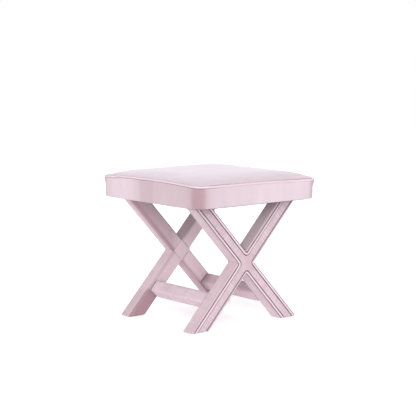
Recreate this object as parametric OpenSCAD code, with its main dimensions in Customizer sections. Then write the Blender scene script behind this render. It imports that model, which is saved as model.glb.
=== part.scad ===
// Upholstered bench on two crossed-leg frames.
// A boxed, crowned seat stands on a front and a back X of wrapped legs, which two stretchers join.
// Millimetres, +Z up, floor at Z = 0, front X towards -Y, origin on the floor under the seat's middle.

/* [Seat] */
// Width of the covered seat, side to side
seat_w = 508; // [440:1:620]
// Depth of the covered seat, front to back
seat_d = 508; // [460:1:620]
// Height of the sewn top edge above the floor, at the middle of a side
seat_edge_h = 474; // [430:1:520]
// Height of the plain band under the sewn edge
band_h = 72; // [66:1:90]
// Radius of the seat's upright corners, seen from above
seat_corner_r = 40; // [30:1:60]
// Rise of the seat's middle above its sewn edge
crown_h = 19; // [8:1:30]
// How far the sewn edge dips at the corners, where the cover is pulled down
corner_dip = 4; // [0:0.5:8]
// How far the sides are drawn in between the corners
side_draw = 1.5; // [0:0.1:3]

/* [Legs] */
// Thickness of a covered leg, seen from the front
leg_w = 50; // [46:1:60]
// Depth of a covered leg, front to back
leg_d = 50; // [46:1:60]
// Distance from the seat's side in to the middle of each foot
foot_inset = 62; // [54:1:94]
// Distance from the seat's side in to the middle of each leg's upper end, at the seat's underside
top_inset = 71; // [69:1:94]
// Distance from the seat's edge in to the outer face of the front and back X
leg_inset = 65; // [45:1:80]
// Bend of the welt at three of the four inside corners of an X
welt_bend_r = 5; // [4.5:0.5:10]
// Bend of the welt at the inside corner on the right, which is sewn looser
loose_bend_r = 13; // [6:0.5:18]

/* [Stretchers] */
// Size of a covered stretcher along the leg that it meets
stretcher_w = 44; // [36:1:50]
// Size of a covered stretcher across the leg that it meets
stretcher_h = 46; // [38:1:46]
// Place of a stretcher's middle, measured up the leg from the floor
stretcher_along = 118; // [90:1:125]
// How far a stretcher sits to the lower side of its leg's middle line
stretcher_off = 2; // [0:0.5:4]

/* [Covers and padding] */
// Thickness of the velvet with its backing
cover_t = 1.3; // [1:0.1:2]
// Diameter of the self welt, cord and velvet together
welt_d = 7; // [5:0.5:8]
// How far the welt stands proud of the faces beside it
welt_proud = 0.5; // [0:0.1:1.5]
// Width of the groove between the welt and the leg's face panel
groove_w = 1.2; // [0.6:0.1:2]
// Thickness of the wadding on legs and stretchers
leg_pad_t = 2.4; // [1.5:0.1:4]
// Thickness of the wadding over the seat's foam
wadding_t = 4; // [2:0.5:6]
// Width of the band's hem, turned under the rails
hem_w = 12; // [10:1:15]
// Thickness of the dust cover
dust_t = 0.8; // [0.5:0.1:1.5]
// Inset of the dust cover's edge from the seat's side
dust_inset = 8; // [5:1:12]

/* [Wooden frame] */
// Thickness of the four seat rails
rail_t = 22; // [18:1:28]
// Height of the four seat rails
rail_h = 36; // [32:1:44]
// Thickness of the plywood deck
deck_t = 9; // [6:1:12]
// Length of a corner block along each rail
block_w = 34; // [20:1:36]
// Thickness of the rails that the legs bolt to
mounting_t = 22; // [18:1:28]
// Height that a leg's bare wooden end rises into the seat box
tenon_h = 32; // [24:1:34]
// Round-over of the wooden legs' long edges
leg_round = 4; // [2:0.5:6]

/* [Fasteners and glides] */
// Height of the foot glides
glide_h = 2; // [2:0.5:8]
// Radius of the foot glides
glide_r = 10; // [7:0.5:14]
// Radius of a glide's nail
nail_r = 1.2; // [0.8:0.1:2]
// Length of a glide's nail
nail_len = 15; // [10:1:20]
// Radius of the bolts in the legs and stretchers
bolt_r = 3; // [2.5:0.1:4]
// Radius of a bolt's head and of its washer
bolt_head_r = 7; // [6:0.5:8]
// Height of a bolt's head
bolt_head_h = 4; // [3:0.5:5]
// Length of a stretcher bolt inside the stretcher
bolt_grip = 50; // [30:1:70]
// Height of a nut
nut_h = 5; // [4:0.5:6.5]
// Thickness of a washer
washer_t = 1.2; // [0.8:0.1:2]
// Radius of the wood screws' shanks
screw_r = 2; // [1.5:0.1:2.5]
// Radius of the wood screws' heads
screw_head_r = 4; // [3:0.5:5]
// Height of the wood screws' heads
screw_head_h = 2.5; // [2:0.5:3]
// Length of a deck screw
deck_screw_len = 30; // [20:1:36]
// Distance between the two screws of a crossing
lap_screw_gap = 20; // [14:1:24]
// Radius of the dowels in the seat frame's corners
dowel_r = 4; // [3:0.5:5]
// Depth of a dowel in the front or back rail
dowel_short = 9; // [6:1:11]
// Depth of a dowel in the side rail
dowel_long = 24; // [15:1:30]
// Length of a staple's crown
staple_w = 10; // [8:1:14]
// Thickness of the staples' wire
staple_t = 0.8; // [0.6:0.1:1.2]
// Length of a staple's legs
staple_leg = 6; // [5:1:10]
// Inset of the staples from the seat's side
staple_inset = 20; // [18:1:26]

/* [Hidden] */

// Clearances and overruns
fit_gap = 0.3;
bore_gap = 0.1;
seam_gap = 0.05;
overrun = 20;
round_steps = 32;

// Colours
VELVET = "#E6D3DC";
WELT = "#EEDCE5";
FOAM = "#F3E7C4";
WADDING = "#F4F4F0";
WOOD = "#C9A46E";
PLY = "#D8B888";
CAMBRIC = "#2B2B2D";
STEEL = "#B4B7BA";
NYLON = "#E9E6DC";

// Heights from the floor up
band_bottom = seat_edge_h - band_h;
rail_bottom = band_bottom + cover_t + fit_gap;
rail_top = rail_bottom + rail_h;
deck_top = rail_top + deck_t;
dust_top = band_bottom - fit_gap;
cover_top = dust_top - dust_t - fit_gap;
foot_bottom = glide_h;
core_bottom = foot_bottom + cover_t + fit_gap;
tenon_top = rail_bottom + tenon_h;

// Places chosen as shares of what carries them
bolt_height_share = 0.42;
screw_share = 0.45;
lap_tip_share = 0.15;
staple_shares = [-0.3, -0.1, 0.1, 0.3];
hex_share = 0.85;

// Line of the legs: both lean at one angle and cross over the bench's middle
foot_x = seat_w / 2 - foot_inset;
top_x = seat_w / 2 - top_inset;
leg_angle = atan2(band_bottom, foot_x + top_x);
cross_z = foot_x * tan(leg_angle);
leg_len = band_bottom / sin(leg_angle);
face_y = seat_d / 2 - leg_inset;
inner_y = face_y - leg_d;

// A leg's layers, from its outer faces in
welt_r = welt_d / 2;
welt_in = welt_r - welt_proud;
welt_room = welt_in + welt_r + fit_gap;
pad_in = cover_t + fit_gap;
core_in = pad_in + leg_pad_t + fit_gap;
core_face = core_in + fit_gap;
core_w = leg_w - 2 * core_in;
core_d = leg_d - core_face - core_in;
cavity_w = core_w + 2 * fit_gap;
panel_t = core_face - fit_gap;
panel_w = leg_w - 2 * (welt_room + groove_w);
wrap_round = 4 * cover_t;
lap_depth = core_face + core_d / 2;

// The seat box
frame_in = side_draw + cover_t + fit_gap + wadding_t + fit_gap;
frame_w = seat_w - 2 * frame_in;
frame_d = seat_d - 2 * frame_in;
frame_r = seat_corner_r - frame_in;
rail_in_x = frame_w / 2 - rail_t;
rail_in_y = frame_d / 2 - rail_t;
core_near = face_y - core_face - core_d;
bolt_z = rail_bottom + rail_h * bolt_height_share;
bolt_x = (bolt_z - cross_z) / tan(leg_angle);

// Shape of the seat's top: crown, corner dip and the rings of points that follow the outline
crown_power = 8;
dip_power = 4;
corner_steps = 6;
side_steps = 8;
ring_shares = [0.985, 0.955, 0.91, 0.84, 0.72, 0.5, 0.25];
tube_sides = 8;
bend_steps = 6;

// Points on a quarter round about a centre, from a first angle on
function quarter(cx, cy, r, first, steps) = [
    for (i = [0:steps])
        let (a = first + 90 * i / steps)
        [cx + r * cos(a), cy + r * sin(a)]
];
// Points between two corners, ends left out
function between(p, q) = [for (i = [1:side_steps - 1]) p + (q - p) * i / side_steps];
// The seat's outline drawn in by an inset, anticlockwise from above
function outline(inset) =
    let (x = seat_w / 2 - seat_corner_r, y = seat_d / 2 - seat_corner_r)
    let (r = seat_corner_r - inset)
    let (a = quarter(x, y, r, 0, corner_steps), b = quarter(-x, y, r, 90, corner_steps))
    let (c = quarter(-x, -y, r, 180, corner_steps), e = quarter(x, -y, r, 270, corner_steps))
    concat(
        a, between(a[corner_steps], b[0]),
        b, between(b[corner_steps], c[0]),
        c, between(c[corner_steps], e[0]),
        e, between(e[corner_steps], a[0])
    );
// A place across the seat as a share of its half width or half depth
function share_x(p) = min(1, abs(p[0]) / (seat_w / 2));
function share_y(p) = min(1, abs(p[1]) / (seat_d / 2));
// Sides drawn in between the corners, not at all from where the corners' rounds begin
function draw_share(v, half) = 1 - pow(min(1, abs(v) / (half - seat_corner_r)), 2);
function drawn(p) = [
    p[0] * (1 - side_draw / (seat_w / 2) * draw_share(p[1], seat_d / 2)),
    p[1] * (1 - side_draw / (seat_d / 2) * draw_share(p[0], seat_w / 2))
];
// Height of the sewn edge, which dips at the corners
function seam_z(p) = seat_edge_h - corner_dip * pow(share_x(p) * share_y(p), dip_power);
// Height of the crowned top over any place
function crown_z(p) =
    seam_z(p) + crown_h * (1 - pow(share_x(p), crown_power)) * (1 - pow(share_y(p), crown_power));
// Rings of points: level, under the sewn edge, and on the crown at a share of the outline
function level_ring(inset, z) = [for (p = outline(inset)) [drawn(p)[0], drawn(p)[1], z]];
function seam_ring(inset, dz) = [for (p = outline(inset)) [drawn(p)[0], drawn(p)[1], seam_z(p) + dz]];
function crown_ring(inset, share, dz) = [
    for (p = outline(inset)) [drawn(p)[0] * share, drawn(p)[1] * share, crown_z(p * share) + dz]
];
function flat_ring(inset, share, z) = [
    for (p = outline(inset)) [drawn(p)[0] * share, drawn(p)[1] * share, z]
];
function reversed(list) = [for (i = [len(list) - 1:-1:0]) list[i]];
function joined(rings) = [for (r = rings) for (p = r) p];

// Skin of triangles between neighbouring rings of n points
function skin(first, last, n, total) = [
    for (k = [first:last - 1]) for (i = [0:n - 1]) for (half = [0, 1])
        let (a = k * n + i, b = k * n + (i + 1) % n)
        let (c = (k + 1) % total * n + (i + 1) % n, d = (k + 1) % total * n + i)
        half == 0 ? [a, c, b] : [a, d, c]
];

// Closed solid through a stack of rings, the first and last ring closed to their middles
module ring_stack(rings) {
    n = len(rings[0]);
    m = len(rings);
    first_mid = [0, 0, rings[0][0][2]];
    last_mid = [0, 0, rings[m - 1][0][2]];
    ends = [
        for (i = [0:n - 1]) for (e = [0, 1])
            e == 0 ? [m * n, i, (i + 1) % n] : [m * n + 1, (m - 1) * n + (i + 1) % n, (m - 1) * n + i]
    ];
    polyhedron(concat(joined(rings), [first_mid, last_mid]), concat(skin(0, m - 1, n, m), ends));
}

// Closed band through rings that come round to the first again
module ring_loop(rings) {
    polyhedron(joined(rings), skin(0, len(rings), len(rings[0]), len(rings)));
}

// Points of a rounded rectangle, its corners cut by short flats
function round_rect(w, h, r, steps = 3) =
    let (x = w / 2 - r, y = h / 2 - r)
    concat(
        quarter(x, y, r, 0, steps), quarter(-x, y, r, 90, steps),
        quarter(-x, -y, r, 180, steps), quarter(x, -y, r, 270, steps)
    );

// Everything of the front X is drawn in place; the back X is its mirror image
module at_x(side) {
    if (side == "front") children();
    else mirror([0, 1, 0]) children();
}

// A leg's own axes: +Z up the leg from its foot, +X to its lower side, +Y in from the face
module on_leg(foot) {
    if (foot == "left")
        translate([-foot_x, -face_y, 0]) rotate([0, 90 - leg_angle, 0]) children();
    else
        mirror([1, 0, 0]) on_leg("left") children();
}

// A bar of one section along a leg, cut level at both ends; the section's Y runs in from the face
module leg_bar(foot, bottom, top) {
    intersection() {
        on_leg(foot) translate([0, 0, -leg_d]) linear_extrude(leg_len + 2 * leg_d) children();
        translate([-seat_w, -seat_d, bottom]) cube([2 * seat_w, 2 * seat_d, top - bottom]);
    }
}

// Sections across a leg
module block_section(width, from, to, r = 0) {
    translate([0, (from + to) / 2])
        if (r > 0) polygon(round_rect(width, to - from, r));
        else square([width, to - from], center = true);
}
module wrap_section() {
    difference() {
        block_section(leg_w, 0, leg_d, wrap_round);
        block_section(leg_w - 2 * cover_t, -overrun, leg_d - cover_t, wrap_round - cover_t);
        block_section(leg_w + overrun, -overrun, welt_room);
    }
}
module padding_section() {
    difference() {
        block_section(leg_w - 2 * pad_in, 0, leg_d - pad_in, wrap_round - pad_in);
        block_section(leg_w, -overrun, welt_room);
    }
}

// Holes and fasteners that run front to back through a leg
module along_y(r, from, to) {
    translate([0, from, 0]) rotate([-90, 0, 0]) cylinder(r = r, h = to - from, $fn = round_steps);
}
module at_stretcher(foot) {
    on_leg(foot) translate([stretcher_off, 0, stretcher_along]) children();
}
module at_tenon(foot) {
    translate([foot == "left" ? bolt_x : -bolt_x, -face_y, bolt_z]) children();
}
module at_lap_screws() {
    for (s = [-1, 1]) translate([0, -face_y, cross_z + s * lap_screw_gap / 2]) children();
}
module at_nail(foot) {
    x = foot_x - foot_bottom / tan(leg_angle);
    translate([foot == "left" ? -x : x, -face_y + leg_d / 2, 0]) children();
}

// Wood of one leg: a rounded bar with half of its depth cut away where the other leg crosses
module leg_core(foot) {
    other = foot == "left" ? "right" : "left";
    notch_from = foot == "left" ? lap_depth - bore_gap : -overrun;
    notch_to = foot == "left" ? leg_d + overrun : lap_depth + bore_gap;
    inner_face = core_face + core_d;
    nail_bore = nail_len + foot_bottom + bore_gap;
    color(WOOD) difference() {
        intersection() {
            leg_bar(foot, core_bottom, tenon_top)
                block_section(core_w, core_face, inner_face, leg_round);
            translate([-rail_in_x + fit_gap, -seat_d, 0])
                cube([2 * (rail_in_x - fit_gap), 2 * seat_d, tenon_top + overrun]);
        }
        leg_bar(other, 0, seat_edge_h) block_section(core_w + 2 * bore_gap, notch_from, notch_to);
        at_lap_screws() along_y(screw_r + bore_gap, -overrun, leg_d + overrun);
        at_lap_screws() along_y(screw_head_r + bore_gap, inner_face - screw_head_h - bore_gap, leg_d);
        at_tenon(foot) along_y(bolt_r + bore_gap, -overrun, leg_d + overrun);
        at_stretcher(foot) along_y(bolt_r + bore_gap, -overrun, leg_d + overrun);
        at_stretcher(foot) along_y(bolt_head_r + bore_gap, 0, core_face + bolt_head_h + bore_gap);
        at_nail(foot) cylinder(r = nail_r + bore_gap, h = nail_bore, $fn = round_steps);
    }
}

// Wadding round both legs of an X, open at the face panel
module x_padding() {
    color(WADDING) difference() {
        union() {
            leg_bar("left", core_bottom, cover_top) padding_section();
            leg_bar("right", core_bottom, cover_top) padding_section();
        }
        leg_bar("left", 0, seat_edge_h) block_section(cavity_w, -overrun, leg_d - core_in + fit_gap);
        leg_bar("right", 0, seat_edge_h) block_section(cavity_w, -overrun, leg_d - core_in + fit_gap);
        at_stretcher("left") along_y(bolt_r + fit_gap, 0, leg_d + overrun);
        at_stretcher("right") along_y(bolt_r + fit_gap, 0, leg_d + overrun);
    }
}

// Velvet round one arm of an X: both sides and the inner face, turned under at a foot
module arm_wrap(foot, upper) {
    other = foot == "left" ? "right" : "left";
    bottom = upper ? cross_z + seam_gap : foot_bottom;
    top = upper ? cover_top : cross_z - seam_gap;
    color(VELVET) difference() {
        union() {
            leg_bar(foot, bottom, top) wrap_section();
            if (!upper)
                leg_bar(foot, foot_bottom, foot_bottom + cover_t)
                    block_section(leg_w - cover_t, welt_room, leg_d - cover_t / 2);
        }
        leg_bar(other, 0, seat_edge_h) block_section(leg_w, -overrun, leg_d + overrun);
        at_stretcher(foot) along_y(bolt_r + fit_gap, 0, leg_d + overrun);
        at_nail(foot) cylinder(r = nail_r + fit_gap, h = nail_len, $fn = round_steps);
    }
}

// Diamond of velvet sewn in where the four arms meet on the inner face
module crossing_patch() {
    color(VELVET) intersection() {
        leg_bar("left", 0, seat_edge_h) block_section(leg_w, leg_d - cover_t, leg_d);
        leg_bar("right", 0, seat_edge_h) block_section(leg_w, leg_d - cover_t, leg_d);
    }
}

// X-shaped padded velvet panel on the outer face
module x_panel() {
    color(VELVET) union() {
        leg_bar("left", foot_bottom, cover_top) panel_section();
        leg_bar("right", foot_bottom, cover_top) panel_section();
    }
}
module panel_section() {
    edge = panel_t / 2;
    polygon([
        [-panel_w / 2, panel_t], [-panel_w / 2, edge], [edge - panel_w / 2, 0],
        [panel_w / 2 - edge, 0], [panel_w / 2, edge], [panel_w / 2, panel_t]
    ]);
}

// Welt in one inside corner of an X: down one leg's edge, round the bend and along the other's
function heading(a) = [cos(a), sin(a)];
function v_corner(axis, half, reach) = [0, cross_z] + reach / sin(half) * heading(axis);
function v_run(axis, half, bend, reach) =
    let (corner = v_corner(axis, half, reach), mid = corner + bend / sin(half) * heading(axis))
    let (sweep = 90 - half)
    [for (i = [0:bend_steps]) mid + bend * heading(axis + 180 - sweep + 2 * sweep * i / bend_steps)];
function end_level(a) = sin(a) > 0 ? cover_top : foot_bottom;
function run_out(corner, a) = corner + (end_level(a) - corner[1]) / sin(a) * heading(a);
function v_points(axis, half, bend) =
    let (reach = leg_w / 2 - welt_in, corner = v_corner(axis, half, reach))
    concat(
        [run_out(corner, axis - half)],
        reversed(v_run(axis, half, bend, reach)),
        [run_out(corner, axis + half)]
    );
// Direction of travel at each point of a run
function travel(pts, i) =
    let (a = pts[max(0, i - 1)], b = pts[min(len(pts) - 1, i + 1)])
    (b - a) / norm(b - a);
// Section points round the run; an end's points slide along it until they are level
function tube_ring(pts, i) =
    let (t = travel(pts, i), n = [-t[1], t[0]], at_end = i == 0 || i == len(pts) - 1)
    [for (k = [0:tube_sides - 1])
        let (f = 360 * (k + 0.5) / tube_sides, side = n * welt_r * cos(f))
        let (slide = at_end ? t * (-side[1] / t[1]) : [0, 0], q = pts[i] + side + slide)
        [q[0], welt_in - face_y + welt_r * sin(f), q[1]]
    ];
module x_welt(axis, half, bend) {
    pts = v_points(axis, half, bend);
    rings = [for (i = [0:len(pts) - 1]) tube_ring(pts, i)];
    n = tube_sides;
    m = len(rings);
    first_cap = [for (i = [1:n - 2]) [0, i, i + 1]];
    last_cap = [for (i = [1:n - 2]) [(m - 1) * n, (m - 1) * n + i + 1, (m - 1) * n + i]];
    color(WELT) polyhedron(joined(rings), concat(skin(0, m - 1, n, m), first_cap, last_cap));
}

// Stretcher parts, drawn for the left side and mirrored to the right
module at_side(side) {
    if (side == "left") children();
    else mirror([1, 0, 0]) children();
}
module stretcher_bar(inset, r, half_len) {
    translate([-foot_x, 0, 0]) rotate([0, 90 - leg_angle, 0])
        translate([stretcher_off, 0, stretcher_along]) rotate([90, 0, 0])
            linear_extrude(2 * half_len, center = true)
                polygon(round_rect(stretcher_h - 2 * inset, stretcher_w - 2 * inset, r));
}
module stretcher_core(side) {
    bore_end = leg_d + bolt_grip + fit_gap;
    color(WOOD) at_side(side) difference() {
        stretcher_bar(core_in, leg_round / 2, inner_y - fit_gap);
        for (end = ["front", "back"])
            at_x(end) at_stretcher("left") along_y(bolt_r + bore_gap, leg_d - overrun, bore_end);
    }
}
module stretcher_padding(side) {
    color(WADDING) at_side(side) difference() {
        stretcher_bar(pad_in, wrap_round - pad_in, inner_y - fit_gap);
        stretcher_bar(core_in - fit_gap, leg_round / 2, inner_y + overrun);
    }
}
module stretcher_cover(side) {
    color(VELVET) at_side(side) difference() {
        stretcher_bar(0, wrap_round, inner_y - fit_gap);
        stretcher_bar(cover_t, wrap_round - cover_t, inner_y + overrun);
    }
}

// Outline of the seat's wooden box
module frame_outline() {
    polygon(round_rect(frame_w, frame_d, frame_r, corner_steps));
}

// Front and back rails run the full width; the side rails butt between them
module end_rail(side) {
    sign = side == "front" ? -1 : 1;
    color(WOOD) difference() {
        translate([0, 0, rail_bottom]) linear_extrude(rail_h) intersection() {
            frame_outline();
            translate([0, sign * (frame_d / 2 - rail_t / 2)]) square([frame_w, rail_t], center = true);
        }
        frame_dowels(bore_gap);
        deck_screw_set(bore_gap);
        staple_set(bore_gap);
    }
}
module side_rail(side) {
    sign = side == "left" ? -1 : 1;
    color(WOOD) difference() {
        translate([sign * (frame_w / 2 - rail_t / 2), 0, rail_bottom + rail_h / 2])
            cube([rail_t, 2 * (rail_in_y - bore_gap), rail_h], center = true);
        frame_dowels(bore_gap);
        deck_screw_set(bore_gap);
        staple_set(bore_gap);
    }
}
module corner_block(x, y) {
    inner_x = rail_in_x - bore_gap;
    inner_yy = rail_in_y - bore_gap;
    color(WOOD) translate([0, 0, rail_bottom]) linear_extrude(rail_h)
        polygon([
            [x * inner_x, y * inner_yy],
            [x * (inner_x - block_w), y * inner_yy],
            [x * inner_x, y * (inner_yy - block_w)]
        ]);
}
module mounting_rail() {
    color(WOOD) difference() {
        translate([-rail_in_x + bore_gap, -core_near + bore_gap, rail_bottom])
            cube([2 * (rail_in_x - bore_gap), mounting_t, rail_h]);
        at_tenon("left") along_y(bolt_r + bore_gap, 0, face_y);
        at_tenon("right") along_y(bolt_r + bore_gap, 0, face_y);
    }
}
module seat_deck() {
    color(PLY) difference() {
        translate([0, 0, rail_top]) linear_extrude(deck_t) frame_outline();
        deck_screw_set(bore_gap);
    }
}

// The seat's soft layers
module seat_foam() {
    low = deck_top + fit_gap;
    side_in = frame_in - side_draw;
    under = cover_t + fit_gap + wadding_t + fit_gap;
    color(FOAM) ring_stack(concat(
        [for (s = reversed(ring_shares)) flat_ring(side_in, s, low)],
        [level_ring(side_in, low), seam_ring(side_in, -welt_r - under)],
        [for (s = ring_shares) crown_ring(side_in, s, -under)]
    ));
}
module seat_wadding() {
    outer = cover_t + fit_gap;
    inner = outer + wadding_t;
    low = rail_bottom;
    color(WADDING) ring_stack(concat(
        [for (s = reversed(ring_shares)) crown_ring(inner, s, -inner)],
        [seam_ring(inner, -welt_r - inner), level_ring(inner, low)],
        [level_ring(outer, low), seam_ring(outer, -welt_r - fit_gap)],
        [seam_ring(welt_room, -welt_r - fit_gap)],
        [for (s = ring_shares) crown_ring(welt_room, s, -outer)]
    ));
}
module seat_top_panel() {
    edge = welt_room;
    color(VELVET) ring_stack(concat(
        [for (s = reversed(ring_shares)) crown_ring(edge, s, -cover_t)],
        [crown_ring(edge, 1, -cover_t), crown_ring(edge, 1, 0)],
        [for (s = ring_shares) crown_ring(edge, s, 0)]
    ));
}
module seat_band() {
    top = -welt_r - fit_gap;
    color(VELVET) ring_loop([
        level_ring(0, band_bottom),
        seam_ring(0, top),
        seam_ring(cover_t, top),
        level_ring(cover_t, band_bottom + cover_t),
        level_ring(hem_w, band_bottom + cover_t),
        level_ring(hem_w, band_bottom)
    ]);
}
module seat_welt() {
    color(WELT) ring_loop([
        for (k = [0:tube_sides - 1])
            let (f = 360 * (k + 0.5) / tube_sides)
            seam_ring(welt_in - welt_r * cos(f), welt_r * sin(f))
    ]);
}
module dust_cover() {
    inset_r = seat_corner_r - dust_inset;
    color(CAMBRIC) difference() {
        translate([0, 0, dust_top - dust_t]) linear_extrude(dust_t)
            polygon(round_rect(seat_w - 2 * dust_inset, seat_d - 2 * dust_inset, inset_r));
        for (side = ["front", "back"]) for (foot = ["left", "right"])
            at_x(side) leg_bar(foot, cover_top, rail_bottom)
                block_section(cavity_w, core_face - fit_gap, core_face + core_d + fit_gap);
        staple_set(bore_gap);
    }
}

// Fasteners, each kind as one group
module lap_screws() {
    head_at = core_face + core_d - screw_head_h;
    tip_at = core_face + core_d * lap_tip_share;
    color(STEEL) for (side = ["front", "back"]) at_x(side) at_lap_screws() union() {
        along_y(screw_r, tip_at, head_at + screw_head_h / 2);
        along_y(screw_head_r, head_at, head_at + screw_head_h);
    }
}
module frame_bolts() {
    head = core_face - washer_t - bolt_head_h;
    nut_end = core_face + core_d + mounting_t + bore_gap + washer_t + nut_h;
    color(STEEL) for (side = ["front", "back"]) for (foot = ["left", "right"])
        at_x(side) at_tenon(foot) union() {
            along_y(bolt_r, head + bolt_head_h / 2, nut_end);
            along_y(bolt_head_r, head + bolt_head_h, core_face);
            translate([0, head, 0]) rotate([-90, 0, 0])
                cylinder(r = bolt_head_r * hex_share, h = bolt_head_h, $fn = 6);
        }
}
module frame_nuts() {
    near = core_face + core_d + mounting_t + bore_gap;
    color(STEEL) for (side = ["front", "back"]) for (foot = ["left", "right"])
        at_x(side) at_tenon(foot) difference() {
            union() {
                along_y(bolt_head_r, near, near + washer_t);
                translate([0, near + washer_t, 0]) rotate([-90, 0, 0])
                    cylinder(r = bolt_head_r * hex_share, h = nut_h, $fn = 6);
            }
            along_y(bolt_r + bore_gap, near - overrun, near + overrun);
        }
}
module stretcher_bolts() {
    color(STEEL) for (side = ["front", "back"]) for (foot = ["left", "right"])
        at_x(side) at_stretcher(foot) union() {
            along_y(bolt_head_r, core_face, core_face + bolt_head_h);
            along_y(bolt_r, core_face + bolt_head_h / 2, leg_d + bolt_grip);
        }
}
module frame_dowels(grow) {
    x = frame_w / 2 - rail_t / 2;
    for (sx = [-1, 1]) for (sy = [-1, 1]) for (sz = [-1, 1])
        translate([sx * x, sy * (rail_in_y - dowel_long), rail_bottom + rail_h / 2 + sz * rail_h / 4])
            rotate([sy > 0 ? -90 : 90, 0, 0]) translate([0, 0, -grow])
                cylinder(r = dowel_r + grow, h = dowel_long + dowel_short + 2 * grow, $fn = round_steps);
}
module rail_dowels() {
    color(WOOD) frame_dowels(0);
}
module deck_screw_set(grow) {
    x = frame_w / 2 - rail_t / 2;
    y = frame_d / 2 - rail_t / 2;
    spots = [
        for (s = [-1, 1]) for (e = [-1, 1]) [s * x, e * y * screw_share],
        for (s = [-1, 1]) for (e = [-1, 1]) [e * x * screw_share, s * y]
    ];
    for (p = spots) translate([p[0], p[1], deck_top]) union() {
        translate([0, 0, -deck_screw_len - grow])
            cylinder(r = screw_r + grow, h = deck_screw_len + grow - screw_head_h / 2, $fn = round_steps);
        translate([0, 0, -screw_head_h - grow])
            cylinder(r = screw_head_r + grow, h = screw_head_h + grow, $fn = round_steps);
    }
}
module deck_screws() {
    color(STEEL) deck_screw_set(0);
}
module staple_set(grow) {
    x = seat_w / 2 - staple_inset;
    y = seat_d / 2 - staple_inset;
    low = dust_top - dust_t - staple_t;
    for (turn = [0, 1]) for (s = [-1, 1]) for (share = staple_shares)
        let (run = turn == 0 ? seat_w : seat_d, off = turn == 0 ? y : x)
        rotate([0, 0, 90 * turn]) translate([share * run, s * off, low]) union() {
            translate([-staple_w / 2 - grow, -staple_t / 2 - grow, -grow])
                cube([staple_w + 2 * grow, staple_t + 2 * grow, staple_t + grow]);
            for (k = [-1, 1])
                translate([k * (staple_w - staple_t) / 2, 0, (staple_leg + grow) / 2])
                    cube([staple_t + 2 * grow, staple_t + 2 * grow, staple_leg + grow], center = true);
        }
}
module staples() {
    color(STEEL) staple_set(0);
}
module foot_glides() {
    color(NYLON) for (side = ["front", "back"]) for (foot = ["left", "right"])
        at_x(side) at_nail(foot) union() {
            cylinder(r = glide_r, h = glide_h, $fn = round_steps);
            cylinder(r = nail_r, h = nail_len + glide_h, $fn = round_steps);
        }
}

seat_top_panel();
seat_band();
seat_welt();
seat_wadding();
seat_foam();
seat_deck();
end_rail("front");  // seat_rail_front
end_rail("back");  // seat_rail_back
side_rail("left");  // seat_rail_left
side_rail("right");  // seat_rail_right
corner_block(-1, -1);  // corner_block_front_left
corner_block(1, -1);  // corner_block_front_right
corner_block(-1, 1);  // corner_block_back_left
corner_block(1, 1);  // corner_block_back_right
at_x("front") mounting_rail();  // mounting_rail_front
at_x("back") mounting_rail();  // mounting_rail_back
dust_cover();
at_x("front") leg_core("left");  // front_leg_left_foot
at_x("front") leg_core("right");  // front_leg_right_foot
at_x("back") leg_core("left");  // back_leg_left_foot
at_x("back") leg_core("right");  // back_leg_right_foot
at_x("front") x_padding();  // front_x_padding
at_x("back") x_padding();  // back_x_padding
at_x("front") x_panel();  // front_x_panel
at_x("back") x_panel();  // back_x_panel
at_x("front") arm_wrap("right", true);  // front_wrap_upper_left
at_x("front") arm_wrap("left", true);  // front_wrap_upper_right
at_x("front") arm_wrap("left", false);  // front_wrap_lower_left
at_x("front") arm_wrap("right", false);  // front_wrap_lower_right
at_x("back") arm_wrap("right", true);  // back_wrap_upper_left
at_x("back") arm_wrap("left", true);  // back_wrap_upper_right
at_x("back") arm_wrap("left", false);  // back_wrap_lower_left
at_x("back") arm_wrap("right", false);  // back_wrap_lower_right
at_x("front") crossing_patch();  // front_crossing_patch
at_x("back") crossing_patch();  // back_crossing_patch
at_x("front") x_welt(90, 90 - leg_angle, welt_bend_r);  // front_welt_top
at_x("front") x_welt(270, 90 - leg_angle, welt_bend_r);  // front_welt_bottom
at_x("front") x_welt(180, leg_angle, welt_bend_r);  // front_welt_left
at_x("front") x_welt(0, leg_angle, loose_bend_r);  // front_welt_right
at_x("back") x_welt(90, 90 - leg_angle, welt_bend_r);  // back_welt_top
at_x("back") x_welt(270, 90 - leg_angle, welt_bend_r);  // back_welt_bottom
at_x("back") x_welt(180, leg_angle, welt_bend_r);  // back_welt_left
at_x("back") x_welt(0, leg_angle, loose_bend_r);  // back_welt_right
stretcher_core("left");  // left_stretcher_core
stretcher_padding("left");  // left_stretcher_padding
stretcher_cover("left");  // left_stretcher_cover
stretcher_core("right");  // right_stretcher_core
stretcher_padding("right");  // right_stretcher_padding
stretcher_cover("right");  // right_stretcher_cover
lap_screws();
frame_bolts();
frame_nuts();
stretcher_bolts();
rail_dowels();
deck_screws();
staples();
foot_glides();
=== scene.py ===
# %% [markdown]
# An upholstered bench on crossed legs, dressed for a picture.
#
# The bench is a boxed, crowned seat on two rigid X frames. Everything that shows is one pale blush
# velvet over wadding, with a self welt along the edges. The wood and the fasteners inside come
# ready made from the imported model, so this lesson makes the soft outside and gives every piece a
# finish.

import functools
import math

import bmesh
import bpy
from mathutils import Matrix, Vector, noise


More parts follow.
